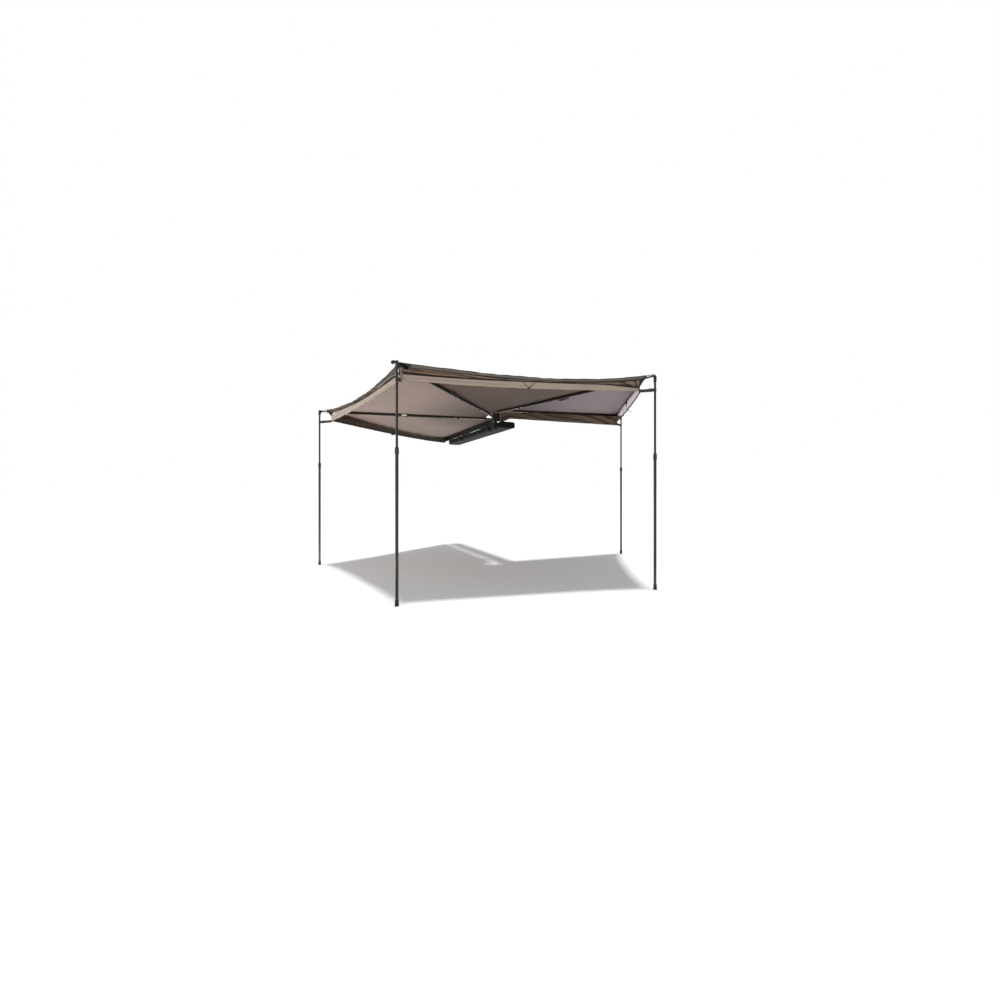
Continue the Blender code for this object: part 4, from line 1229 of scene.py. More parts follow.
    def cleat(self, place: float) -> Item:
        """Sew a cream cleat on the skirt, 45 mm below the hem, a distance from its start (or end, if negative)."""
        u = np.array(place / self.span % 1.0)
        v = self.below_hem(u, 0.045)
        out = self.normal(u, v)
        along = unit(self.surface(u + 0.004, v) - self.surface(u - 0.004, v))
        axes = np.array([along, np.cross(out, along), out])
        middle = self.lifted(u, v, 0.0045)
        draft = Draft().pebble(middle, (0.013, 0.034, 0.0080), axes, 0.5)
        draft.pebble(middle + 0.005 * axes[1], (0.026, 0.009, 0.0070), axes, 0.5)
        item = draft.make(f"{self.name}_cleat_{'start' if place > 0 else 'end'}", CLEAT)
        return self.pin(item, self.weights(u, v))

    def corner_patch(self, end: float) -> Item:
        """Sew a three-sided patch under the canopy's corner, its point along the seam."""
        width, depth, length = 0.060, 0.090, 1.8
        out = np.linspace(0.02, 1, 12)[:, None]
        turn = np.linspace(0, 1, 12)[None, :]
        along_hem = width / self.span * out * (1 - turn)
        u = np.clip(along_hem if end == 0 else 1 - along_hem, 0.0012, 0.9988)
        v = 0.997 - depth / length * out * turn
        points = self.lifted(u, v, -0.0014)
        uv = np.stack(np.broadcast_arrays(along_hem * self.span, length * v), -1)
        item = thicken(Draft().grid(points, uv).make(f"{self.name}_corner_patch_{end:.0f}", BINDING, closed=False))
        return self.attach(item, self.weights(u, v))

    def tie_cord(self) -> None:
        """Hang the tie-up cord at the middle of the skirt: a V from the band's seam, with a cord lock at its point.

        Its depth below the seam is 0.060 less the root of (1.05 x)^2 + 0.009^2, and x is the distance from the
        middle. On a band lower than 55 mm the V is shallower, so that its point stays above the lower edge.
        """
        x = np.linspace(-0.055, 0.055, 31)
        u = 0.5 + x / self.span
        dip = 0.060 - np.sqrt((1.05 * x) ** 2 + 0.009 ** 2)
        dip *= np.minimum((self.band(u) - 0.005) / 0.050, 1.0)
        v = self.below_hem(u, -self.band(u) - 0.001 + dip)
        path = self.lifted(u, v, 0.0042)
        tube = Draft().tube(path, 0.0022, self.normal(u, v), 8).make(f"{self.name}_tie_cord", CORD, closed=False)
        self.attach(tube, np.repeat(self.weights(u, v), 8))
        middle = np.array(0.5)
        out = self.normal(middle, np.array(1.9))
        along = unit(self.surface(np.array(0.51), np.array(1.9)) - self.surface(np.array(0.49), np.array(1.9)))
        axes = np.array([along, np.cross(out, along), out])
        lock = Draft().pebble(path[15] - 0.004 * UP, (0.015, 0.019, 0.012), axes, 0.55).make(
            f"{self.name}_cord_lock", NYLON)
        self.pin(lock, self.weights(middle, np.array(1.98)))

    def loose_end(self, u: float, v: float, away: float, fall: float) -> None:
        """Leave a cord's free end hanging from a toggle inside the skirt, out under its lower edge.

        Args:
            u: the toggle's share across.
            v: the toggle's place along.
            away: how far the end reaches beyond the lower edge.
            fall: how far it falls below it.
        """
        top, foot = self.lifted(np.array(u), np.array(v), -0.010), self.surface(np.array(u), np.array(2.0))
        under = foot - 0.007 * UP
        path = resampled(np.stack([top, (top + under) / 2 - 0.004 * UP, under,
                                   foot - self.inward * away - (0.007 + fall) * UP]), 24)
        side = np.cross(UP, self.inward)
        weight = self.weights(np.array(u), np.array(v))
        cord = Draft().tube(path, 0.0024, side, 8).make(f"{self.name}_loose_cord", CORD)
        self.pin(cord, weight)
        lock = Draft().pebble(top - 0.004 * UP, (0.040, 0.018, 0.026), np.array([side, -self.inward, UP]), 0.5).make(
            f"{self.name}_toggle", NYLON)
        self.pin(lock, weight)


@dataclass
class Rafter:
    """One swinging rafter: tube, hinge knuckle, tip, seam cover, ties, rivets and the strap over its tip."""

    side: Side
    width: float = 0.016
    height: float = 0.028
    corner: float = 0.003
    tube_start: float = 0.030
    cover_half: float = 0.019
    tie_places: tuple[float, ...] = (0.42, 0.86, 1.62)
    clip_places: tuple[float, ...] = (1.075, 1.070, 1.000)

    def __post_init__(self) -> None:
        """Keep the number, body and directions of this rafter."""
        self.index = self.side.value
        self.body = f"rafter_{self.side.letter}"
        self.along, self.across, self.square = FAN.slope_axes(self.index)
        self.root = np.array([*FAN.hub, FAN.root(self.index)])

    def at(self, distance: Number, lateral: Number = 0.0, above: Number = 0.0) -> Array:
        """Places in the rafter's own directions."""
        parts = spread(distance, lateral, above)
        return self.root + parts[0][..., None] * self.along + parts[1][..., None] * self.across + (
            parts[2][..., None] * self.square)

    def fix(self, draft: Draft, label: str, finish: Finish) -> None:
        """Make a drawn piece that rides on this rafter."""
        settle(draft.make(f"rafter_{self.side.letter}_{label}", finish), self.body)

    def build(self) -> None:
        """Make every piece of the rafter."""
        letter = self.side.letter
        end = FAN.tube_end(self.index)
        path = self.at(np.linspace(self.tube_start, end, 12))
        tube = Draft().bar(path, rounded_outline(self.width, self.height, self.corner, 4), self.square)
        settle(tube.make(f"rafter_{letter}_tube", RAFTER), self.body, f"rafter_{letter}")
        softened(f"rafter_tip_{letter}", self.body, CASTING, 0.0008)
        softened(f"hinge_knuckle_{letter}", self.body, CASTING, 0.0008)
        softened(f"leg_clip_{letter}", self.body, NYLON, 0.0005)
        self.seam_cover()
        self.ties()
        self.guide()
        self.clip_band()
        self.rivets(end)
        self.tip_strap()

    def seam_cover(self) -> None:
        """Sew webbing over the seam; it droops from the middle as the panels do, by 2 mm at the hem."""
        radius = np.linspace(0.095, FAN.reach(self.index) - 0.070, 60)[:, None]
        lateral = np.linspace(-self.cover_half, self.cover_half, 7)[None, :]
        share = np.abs(lateral) / self.cover_half
        droop = 0.0024 * share * (radius / 2) ** 1.3
        if self.side is Side.D:
            droop = np.where(lateral > 0, 0.0030 * share, droop)
        points = FAN.on_rafter(self.index, radius, lateral + 0 * radius, FAN.rise + 0.0016 - droop)
        uv = np.stack(np.broadcast_arrays(lateral, radius), -1)
        item = thicken(Draft().grid(points[:, ::-1], uv[:, ::-1]).make(
            f"rafter_{self.side.letter}_seam_cover", TAPE, closed=False), 0.0012)
        settle(item, self.body)

    def guide(self) -> None:
        """Fix pale strips low on both sides of the tube near the hub, a painted highlight of the floor's light, with
        pins along their outer ends.
        """
        strips, pins = Draft(), Draft()
        pin = ((0.0, -0.0006), (0.0034, -0.0006), (0.0034, 0.0006), (0.0020, 0.0013), (0.0, 0.0015))
        for sign in (-1, 1):
            path = self.at(np.linspace(0.105, 0.470, 12), sign * (self.width / 2 + 0.0002), -0.0092)
            strips.bar(path, rounded_outline(0.0016, 0.0074, 0.0006, 2), self.square)
            for place in (0.500, 0.535, 0.570, 0.605):
                pins.turned(pin, self.at(place, sign * self.width / 2, -0.0092), sign * self.across, 12)
        self.fix(strips, "guides", HIGHLIGHT_STRIP)
        self.fix(pins, "strip_pins", ZINC)

    def clip_band(self) -> None:
        """Hang a broad stretchy band beside the leg clip's two hooks, for the folded leg; the flap hides D's."""
        if self.side is Side.D:
            return
        middle = self.clip_places[self.index - 1]
        out = np.array([-0.054, -0.046, -0.026, -0.004, 0.020, 0.044, 0.054])
        up = np.array([0.000, -0.006, -0.013, -0.009, -0.003, -0.001, 0.002])
        band = Draft().strap(resampled(self.at(middle + out, 0.0450, up), 40), self.across, 0.0200, 0.0024)
        self.fix(band, "clip_band", RUBBER)
        if self.side is Side.A:
            sleeve = Draft().pebble(self.at(middle - 0.022, 0.0470, -0.006), (0.058, 0.0035, 0.013),
                                    FAN.slope_axes(self.index), 0.3)
            self.fix(sleeve, "clip_sleeve", CLEAT)

    def ties(self) -> None:
        """Wrap hook-and-loop ties round the tube, each overlapping itself."""
        outline = rounded_outline(self.width + 0.0020, self.height + 0.0020, self.corner + 0.001, 4)
        loop = np.concatenate([outline, outline[:1]])
        looks = unit(np.stack([loop[:, 0] / self.width, loop[:, 1] / self.height], -1))
        ups = looks[:, :1] * self.across + looks[:, 1:] * self.square
        draft = Draft()
        for place in self.tie_places:
            path = self.at(place, loop[:, 0], loop[:, 1])
            draft.strap(path, ups, 0.025, 0.0012, closed=True)
            draft.strap(path[8:20] + ups[8:20] * 0.0012, ups[8:20], 0.025, 0.0012)
        self.fix(draft, "ties", TAPE)

    def rivets(self, end: float) -> None:
        """Set pop rivets in both sides of the tube, over the knuckle's tongue and the tip's plug."""
        dome = ((0.0, -0.0004), (0.0032, -0.0004), (0.0032, 0.0003), (0.0026, 0.0009), (0.0015, 0.0012),
                (0.0, 0.0013))
        draft = Draft()
        for place in (0.045, 0.068, end - 0.031, end - 0.012):
            for sign in (-1, 1):
                draft.turned(dome, self.at(place, sign * self.width / 2), sign * self.across, 14)
        self.fix(draft, "rivets", ZINC)

    def tip_strap(self) -> None:
        """Run a narrow strap from the canopy's corner over the tip's arm and round its eye, with two buckles."""
        out = np.array([-0.098, -0.080, -0.068, -0.050, -0.030, -0.012, 0.000, 0.009, 0.0134, 0.0126, 0.006])
        up = np.array([0.0215, 0.0213, 0.0195, 0.0125, 0.0100, 0.0122, 0.0138, 0.0105, 0.0015, -0.0070, -0.0125])
        path = resampled(FAN.from_pivot(self.index, out, 0.0, up), 46)
        looks = np.cross(np.gradient(path, axis=0), np.broadcast_to(self.across, path.shape))
        draft = Draft().strap(path, looks, 0.0092, 0.0013)
        self.fix(draft, "tip_strap", TAPE)
        axes = FAN.axes(self.index)
        buckles = Draft().pebble(FAN.from_pivot(self.index, -0.052, 0.0, 0.0155), (0.018, 0.0135, 0.0060), axes)
        buckles.pebble(FAN.from_pivot(self.index, -0.026, 0.0, 0.0125), (0.011, 0.0125, 0.0052), axes)
        self.fix(buckles, "tip_buckles", NYLON)


@dataclass
class Leg:
    """One folding, telescoping leg with its knob, twist collar, foot and corner strap."""

    side: Side
    upper_radius: float = 0.0095
    upper_low: float = -0.8083
    lower_radius: float = 0.0125
    lower_bore: float = 0.0100
    lower_top: float = 1.170
    strap_drop: float = 0.130
    strap_start: float = 0.137
    strap_rise: float = 0.016
    strap_width: float = 0.028

    def __post_init__(self) -> None:
        """Keep the number, letter and directions of this leg."""
        self.index = self.side.value
        self.letter = self.side.letter
        self.out, self.across, _ = FAN.axes(self.index)
        self.pivot = FAN.from_pivot(self.index, 0.0, 0.0, 0.0)
        self.axis = FAN.from_pivot(self.index, 0.0, FAN.leg_lateral, 0.0)
        self.foot = FAN.point(self.index, FAN.reach(self.index), FAN.leg_lateral, FAN.ground)

    def show(self, draft: Draft, node: str, body: str, finish: Finish) -> None:
        """Make the piece that stands for one of this leg's CAD nodes."""
        name = f"{node}_{self.letter}"
        settle(draft.make(name + "_shown", finish), f"{body}_{self.letter}", name)

    def build(self) -> None:
        """Make every piece of the leg."""
        self.head()
        self.tubes()
        self.collar()
        self.knob()
        self.corner_strap()

    def head(self) -> None:
        """Turn the pivoting head: a ribbed socket with a domed top, and the boss on the pivot line."""
        body = ((0, -0.0500), (0.0115, -0.0500), (0.0127, -0.0490), (0.0130, -0.0475), (0.0130, -0.0445),
                (0.0121, -0.0435), (0.0121, -0.0415), (0.0130, -0.0405), (0.0130, 0.0010), (0.0124, 0.0050),
                (0.0102, 0.0085), (0.0065, 0.0102), (0, 0.0107))
        boss = ((0, 0.0062), (0.0094, 0.0062), (0.0103, 0.0072), (0.0103, 0.0190), (0.0, 0.0190))
        bead = ((0, -0.0005), (0.0030, -0.0005), (0.0030, 0.0008), (0.0022, 0.0015), (0, 0.0018))
        draft = Draft().turned(body, self.axis, UP).turned(boss, self.pivot, self.across)
        self.show(draft, "leg_head", "leg_top", NYLON)
        rivets = Draft()
        for sign in (-1, 1):
            rivets.turned(bead, self.axis + sign * 0.0130 * self.out - 0.030 * UP, sign * self.out, 14)
        settle(rivets.make(f"leg_head_{self.letter}_rivets", ZINC), f"leg_top_{self.letter}")

    def tubes(self) -> None:
        """Turn the slim upper tube, the stout lower tube and the ribbed foot."""
        radius, low = self.upper_radius, self.upper_low
        slim = ((0, low), (radius - 0.001, low), (radius, low + 0.001), (radius, -0.0450), (0, -0.0450))
        upper = Draft().turned(slim, self.axis, UP, 28)
        self.show(upper, "leg_upper", "leg_top", TUBE)
        radius, bore, top = self.lower_radius, self.lower_bore, self.lower_top
        stout = ((bore, 0.0060), (radius, 0.0060), (radius, top), (bore, top), (bore, 0.0060))
        lower = Draft().turned(stout, self.foot, UP, 28)
        self.show(lower, "leg_lower", "leg_bottom", TUBE)
        ribs = [point for start in (0.0165, 0.0235, 0.0305, 0.0375) for point in
                ((0.0144, start), (0.0153, start + 0.001), (0.0153, start + 0.003), (0.0144, start + 0.004))]
        sole = ((0, 0.0), (0.0138, 0.0), (0.0156, 0.0012), (0.0160, 0.0030), (0.0160, 0.0100), (0.0149, 0.0125),
                *ribs, (0.0144, 0.0450), (0.0138, 0.0478), (0.0128, 0.0480), (0.0128, 0.0055), (0, 0.0055))
        foot = Draft().turned(sole, self.foot, UP, 32)
        self.show(foot, "leg_foot", "leg_bottom", RUBBER)

    def collar(self) -> None:
        """Turn the twist collar: a fluted grip below a smooth tapered neck."""
        profile = ((0.0128, 1.1500), (0.0140, 1.1500), (0.0153, 1.1510), (0.0156, 1.1530), (0.0156, 1.1560),
                   (0.0156, 1.1720), (0.0156, 1.1770), (0.0149, 1.1790), (0.0149, 1.1815), (0.0157, 1.1830),
                   (0.0157, 1.1905), (0.0146, 1.1985), (0.0124, 1.2040), (0.0110, 1.2050), (0.0099, 1.2050),
                   (0.0099, 1.1720), (0.0128, 1.1715), (0.0128, 1.1500))
        depth = [0, 0, 0, 0.0002, 0.0007, 0.0007, 0.0003] + [0] * 11
        draft = Draft().turned(profile, self.foot, UP, 72, 14, depth)
        self.show(draft, "twist_collar", "collar", NYLON)

    def knob(self) -> None:
        """Turn the six-lobed clamp knob on its boss, with a washer and the end of the stud."""
        grip = ((0, 0.0054), (0.0085, 0.0054), (0.0088, 0.0062), (0.0088, 0.0084), (0.0120, 0.0088),
                (0.0134, 0.0100), (0.0137, 0.0122), (0.0137, 0.0172), (0.0131, 0.0192), (0.0108, 0.0204),
                (0.0064, 0.0208), (0.0058, 0.0198), (0, 0.0196))
        depth = [0, 0, 0, 0, 0.0010, 0.0013, 0.0014, 0.0014, 0.0013, 0.0008, 0, 0, 0]
        knob = Draft().turned(grip, self.pivot, -self.across, 72, 6, depth)
        self.show(knob, "clamp_knob", "knob", NYLON)
        stud = ((0, 0.0190), (0.0034, 0.0190), (0.0034, 0.0202), (0.0026, 0.0208), (0, 0.0209))
        washer = ((0, 0.0050), (0.0078, 0.0050), (0.0078, 0.0055), (0, 0.0055))
        bright = Draft().turned(stud, self.pivot, -self.across, 18).turned(washer, self.pivot, -self.across, 24)
        settle(bright.make(f"clamp_knob_{self.letter}_stud", ZINC), f"knob_{self.letter}")

    def corner_strap(self) -> None:
        """Run the strap from the skirt's lower corner to a loop round the leg, with a ladder buckle on it."""
        loop = self.upper_radius + 0.0016
        angle = np.linspace(0, 2 * math.pi, 29)
        looks = np.cos(angle)[:, None] * self.out + np.sin(angle)[:, None] * self.across
        ring = self.axis - self.strap_drop * UP + loop * looks
        draft = Draft().strap(ring, looks, self.strap_width, 0.0018, closed=True)
        start = FAN.from_pivot(self.index, -self.strap_start, 0.0, -self.strap_drop + self.strap_rise)
        touch = self.axis - self.strap_drop * UP - (loop + 0.001) * self.out
        middle = (start + touch) / 2 - 0.001 * UP + 0.002 * self.across
        run = resampled(np.stack([start, middle, touch]), 24)
        draft.strap(run, np.cross(np.gradient(run, axis=0), UP), self.strap_width, 0.0018)
        strap = draft.make(f"corner_strap_{self.letter}_shown", STRAP)
        along = unit(touch - start)
        buckle_axes = np.array([along, UP, np.cross(along, UP)])
        reach = float(np.linalg.norm(touch - start))
        buckle = Draft().pebble(touch - 0.026 * along, (0.022, 0.033, 0.0070), buckle_axes)
        buckle.pebble(touch - min(0.048, 0.6 * reach) * along, (0.007, 0.031, 0.0058), buckle_axes)
        shown = buckle.make(f"corner_strap_{self.letter}_buckle", NYLON)
        for item in (strap, shown):
            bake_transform(item)
            LOG.info("%s bends between rafter_%s and leg_top_%s", item.name, self.letter, self.letter)
        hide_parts(f"corner_strap_{self.letter}")


@dataclass
class Flap:
    """The cloth that lies over the last rafter and hangs down its far side.

    Its surface has t, from the hub end (0) to the outer end (1), and s: -0.3 at the seam, 0 at the bend and 1 at
    the lower edge.
    """

    first: float = 0.119
    last: float = 1.900
    lateral: float = 0.0478
    wave: float = 0.0075
    fall: float = 0.007

    def folds(self, t: Array, hang: Array) -> Array:
        """Bulges |sin|^0.8 that run slantwise down from the seam to the outer end, from -1 to 0.6."""
        return 1.6 * np.abs(np.sin(math.pi * (1.5 * hang - 3.6 * t + 0.22 * np.sin(11 * t)))) ** 0.8 - 1.0

    def surface(self, t: Array, s: Array) -> Array:
        """Places on the flap: over the rafter's side, then hanging in its folds."""
        radius = self.first + (self.last - self.first) * t
        top = FAN.root(4) + FAN.slope * radius + FAN.rise
        bottom = 0.143 + 0.012 * (radius - 0.29) - 0.046 * (1 - smooth(0.12, 0.27, radius))
        hang = np.clip(s, 0, 1)
        over = np.clip(-s / 0.3, 0, 1)
        crumple = np.sin(2 * math.pi * (9 * t + 0.7 * hang)) * np.sin(2 * math.pi * (4 * t - hang))
        push = (self.wave * self.folds(t, hang) + 0.0016 * crumple) * smooth(0, 0.3, hang) * smooth(0, 0.03, t)
        out = self.lateral + push
        lateral = out * (1 - over) + 0.001 * over
        height = (top - self.fall) * (1 - over) + top * over
        return FAN.point(4, radius, lateral, height + (bottom - top + self.fall) * hang)

    def lifted(self, t: Array, s: Array, height: float) -> Array:
        """Places off the flap's outer face."""
        dt = self.surface(t + 1e-3, s) - self.surface(t - 1e-3, s)
        ds = self.surface(t, s + 1e-3) - self.surface(t, s - 1e-3)
        return self.surface(t, s) + unit(np.cross(dt, ds)) * height

    def build(self) -> None:
        """Make the flap, its bindings and the patch at its outer end."""
        across = np.concatenate([np.linspace(-0.3, 0, 7)[:-1], np.linspace(0, 1, 31)])
        grid_t, grid_s = np.meshgrid(np.linspace(0, 1, 181), across)
        place = self.surface(grid_t, grid_s)
        uv = np.stack([1.74 * grid_t, 0.15 * grid_s], -1)
        cloth = thicken(Draft().grid(place[::-1], uv[::-1]).make("edge_flap_cloth", SKIRT, closed=False))
        settle(cloth, "rafter_d", "edge_flap_d")
        # painted shade: the hanging cloth is darker in its folds, and darker again over its half near the hub
        depth = smooth(0.35, -0.85, self.folds(grid_t, np.clip(grid_s, 0, 1)))
        mark(cloth, (np.maximum(depth, 0.5 * (1 - smooth(0.45, 0.9, grid_t))) * (grid_s > 0))[::-1])
        t, s = np.linspace(0, 1, 120), np.linspace(0, 1, 24)
        side = FAN.axes(4)[1]
        edges = Draft().tube(self.surface(t, np.ones_like(t)), 0.0026, side, 8)
        edges.tube(self.surface(0 * s, s), 0.0036, side, 8).tube(self.surface(np.ones_like(s), s), 0.0024, side, 8)
        trim = [settle(edges.make("edge_flap_piping", PIPING), "rafter_d")]
        patch_t, patch_s = np.meshgrid(np.linspace(0, 1, 10), np.linspace(0, 1, 14))
        patch_t = 0.999 - 0.060 * (1 - patch_t) * (1 - 0.92 * np.abs(2 * patch_s - 1))
        patch = thicken(Draft().grid(self.lifted(patch_t, patch_s, 0.0014)).make(
            "edge_flap_patch", RUSSET, closed=False))
        trim.append(settle(patch, "rafter_d"))


@dataclass
class Base:
    """What is fixed to the vehicle: rail, hub bracket, king pin and rack brackets."""

    rail_x: float = 0.0228
    rail_width: float = 0.022
    rail_bottom: float = 0.065
    rail_height: float = 0.060
    rail_start: float = 0.055
    rail_end: float = 2.090
    groove: float = 0.0030

    def spot(self, x: Number, y: Number, z: Number) -> Array:
        """Places measured from the hub axis."""
        return np.stack(spread(x, y, z), -1) + np.array([*FAN.hub, 0.0])

    def rail_outline(self) -> Array:
        """The rail's section: a rectangle with two grooves in each side and one in the top and bottom."""
        a, b, g = self.rail_width / 2, self.rail_height / 2, self.groove
        right = [(a, -b)]
        for level in (-0.014, 0.014):
            right += [(a, level - g), (a - g, level - g), (a - g, level + g), (a, level + g)]
        top = [(a, b), (g, b), (g, b - g), (-g, b - g), (-g, b)]
        half = np.array(right + top)
        return np.concatenate([half, -half])

    def build(self) -> None:
        """Make every fixed piece but the bag."""
        y = np.linspace(self.rail_start, self.rail_end, 9)
        path = self.spot(self.rail_x + self.rail_width / 2, y, self.rail_bottom + self.rail_height / 2)
        rail = Draft().bar(path, self.rail_outline(), UP).make("base_rail_shown", RAIL)
        settle(round_edges(rail, 0.0008), "base", "base_rail")
        self.track()
        softened("rail_end_cap", "base", NYLON, 0.0010)
        softened("hub_bracket", "base", PLATE, 0.0008)
        softened("king_pin", "base", ZINC, 0.0006)
        for label in ("rear", "front"):
            softened(f"rack_bracket_{label}", "base", PLATE, 0.0009)
            softened(f"rack_bolt_{label}", "base", ZINC, 0.0006)
        washer = ((0.0, 0.0), (0.0092, 0.0), (0.0092, 0.0012), (0.0, 0.0012))
        face = self.rail_x + self.rail_width + 0.0043
        washers = Draft()
        for forward in (0.340, 1.450):
            washers.turned(washer, self.spot(face, forward, 0.092), np.array([1.0, 0.0, 0.0]), 24)
        settle(washers.make("rack_bolt_washers", ZINC), "base")

    def track(self) -> None:
        """Hold the canopy's corded edge in a C-shaped track along the rail's outer top edge."""
        angle = np.radians(np.linspace(20, 340, 17))
        ring = np.stack([np.cos(angle), np.sin(angle)], -1)
        outline = np.concatenate([0.0052 * ring, 0.0038 * ring[::-1]])
        path = self.spot(0.0262, np.linspace(0.075, 2.075, 9), 0.1302)
        settle(Draft().bar(path, outline, UP).make("canopy_track", RAIL), "base")
        bead = Draft().tube(self.spot(0.0258, np.linspace(0.085, 2.062, 9), 0.1302), 0.0032, UP, 12)
        settle(bead.make("canopy_edge_cord", BINDING), "base")
        y = np.linspace(0.088, 2.061, 30)[:, None]
        x = np.array([0.0256, 0.0235, 0.0210, 0.0186])[None, :]
        uv = np.stack(np.broadcast_arrays(x - 0.022, y), -1)
        web = thicken(Draft().grid(self.spot(x, y, 0.1302), uv).make("canopy_edge_web", TAPE, closed=False), 0.0012)
        settle(web, "base")


@dataclass
class Bag:
    """The opened storage bag: a lofted vinyl shell that sags between its two straps."""

    centre_x: float = 0.182
    half: float = 0.103
    bottom: float = 0.016
    height: float = 0.074
    corner: float = 0.020
    mouth_half: float = 0.065
    mouth: tuple[float, float] = (0.050, 1.990)
    rear: float = -0.020
    front: float = 2.060
    straps: tuple[float, float] = (0.934, 1.783)

    def swell(self, y: Array) -> Array:
        """The section's scale: fuller between the straps and ends, and drawn in at them."""
        pinch = sum(np.exp(-((y - place) / 0.05) ** 2) for place in self.straps)
        ends = 1 - smooth(0.0, 0.035, y - self.rear) + smooth(0.035, 0.0, self.front - y)
        return 0.985 - 0.022 * pinch - 0.055 * np.clip(ends, 0, 1) + 0.010 * np.sin(5.2 * y)

    def ring(self) -> Array:
        """A rounded rectangle from the top's middle round to it again, with points on both lips."""
        outline = rounded_outline(2 * self.half, self.height, self.corner, 6)
        start = np.array([[0.0, self.height / 2]])
        loop = np.concatenate([start, np.roll(outline, -7, axis=0), start])
        length = arc_length(loop)
        lips = (self.mouth_half, length[-1] - self.mouth_half)
        where = np.concatenate([np.linspace(0, lips[0], 7)[:-1], np.linspace(lips[0], lips[1], 59)[:-1],
                                np.linspace(lips[1], length[-1], 7)[:-1]])
        return np.stack([np.interp(where, length, loop[:, axis]) for axis in range(2)], -1)

    def surface(self, ring: Array, y: Array) -> Array:
        """Places on the shell: the ring scaled by swell, with creases and lips that droop.

        Args:
            ring: section points of shape (n, 2).
            y: places along the bag, of shape (m,).

        Returns:
            Points of shape (m, n, 3).
        """
        x, z = ring[None, :, 0], ring[None, :, 1]
        y = y[:, None]
        scale = self.swell(y)
        inside = smooth(self.mouth[0] - 0.05, self.mouth[0] + 0.15, y) * smooth(self.mouth[1] + 0.05,
                                                                             self.mouth[1] - 0.15, y)
        top = smooth(0.6, 1.0, z / (self.height / 2))
        creases = np.sin(2 * math.pi * (3.4 * y + 2.2 * x / self.half)) * np.sin(2 * math.pi * (7.3 * y - 6 * z))
        crumple = np.sin(2 * math.pi * (13 * y + 9 * x)) * np.sin(2 * math.pi * (21 * y + 14 * z))
        push = 1 + 0.012 * creases + 0.005 * crumple
        droop = 0.010 * inside * top * (1 - 0.4 * np.abs(x) / self.half) * (0.8 + 0.2 * np.sin(9 * y))
        side = np.sign(x) * 0.004 * inside * np.abs(np.sin(4.1 * y)) * (np.abs(x) > 0.5 * self.half)
        lateral = (x * push + side) * scale
        height = self.bottom + self.height * scale / 2 + z * scale * push - droop
        return np.stack([self.centre_x + lateral + FAN.hub[0], y + FAN.hub[1] + 0 * x, height], -1)

    def build(self) -> None:
        """Make the shell, its piping, the zip's two tapes and the straps."""
        y = np.concatenate([np.linspace(self.rear, self.mouth[0], 12)[:-1], np.linspace(*self.mouth, 120)[:-1],
                            np.linspace(self.mouth[1], self.front, 12)])
        points = self.surface(self.ring(), y)
        columns = points.shape[1]
        middle = (y[:-1] + y[1:]) / 2
        column = np.arange(columns)
        lidless = ((middle > self.mouth[0]) & (middle < self.mouth[1]))[:, None]
        draft = Draft().grid(points, wrap_u=True, keep=~(lidless & ((column < 6) | (column >= columns - 6))))
        for end, bulge in ((0, -0.006), (-1, 0.006)):
            centre = points[end].mean(axis=0)
            share = np.linspace(1, 0, 9)[:, None, None]
            panel = centre + (points[end] - centre) * share
            panel[..., 1] += bulge * (1 - share[..., 0] ** 2)
            draft.grid(panel, wrap_u=True)
        shell = draft.make("storage_bag_shell", VINYL)
        settle(thicken(shell, 0.0020, -1.0), "base", "storage_bag")
        self.piping(points)
        self.zip(points, y)
        self.webbing()

    def piping(self, points: Array) -> None:
        """Lay piping round both ends."""
        draft = Draft()
        for row in (1, -2):
            loop = np.concatenate([points[row], points[row][:1]])
            loop = loop + unit(loop - points[row].mean(axis=0)) * 0.0012
            draft.tube(loop, 0.0030, np.array([0.0, 1.0, 0.0]), 8, closed=True)
        settle(draft.make("storage_bag_piping", VINYL), "base")

    def zip(self, points: Array, y: Array) -> None:
        """Bind the mouth's edge, and sew a zip tape with its row of teeth inside each lip."""
        rows = np.flatnonzero((y >= self.mouth[0] - 1e-9) & (y <= self.mouth[1] + 1e-9))
        left, right = points[rows, 6], points[rows, -6]
        over = np.arange(-5, 6)
        loop = np.concatenate([left, points[rows[-1], over[::-1]], right[::-1], points[rows[0], over], left[:1]])
        binding = Draft().tube(loop, 0.0030, UP, 8, closed=True)
        settle(binding.make("storage_bag_mouth_binding", TAPE), "base")
        tapes, teeth = Draft(), Draft()
        for edge, inward in ((left, 1.0), (right, -1.0)):
            line = resampled(edge, 150)
            shift = np.array([inward, 0.0, 0.0])
            tapes.strap(line + shift * 0.008 - UP * 0.0015, UP, 0.016, 0.0009)
            teeth.bar(line + shift * 0.0165 - UP * 0.0012, rounded_outline(0.0034, 0.0026, 0.0008, 1), UP)
        settle(tapes.make("storage_bag_zip_tapes", TAPE), "base")
        settle(teeth.make("storage_bag_zip_teeth", NYLON), "base")

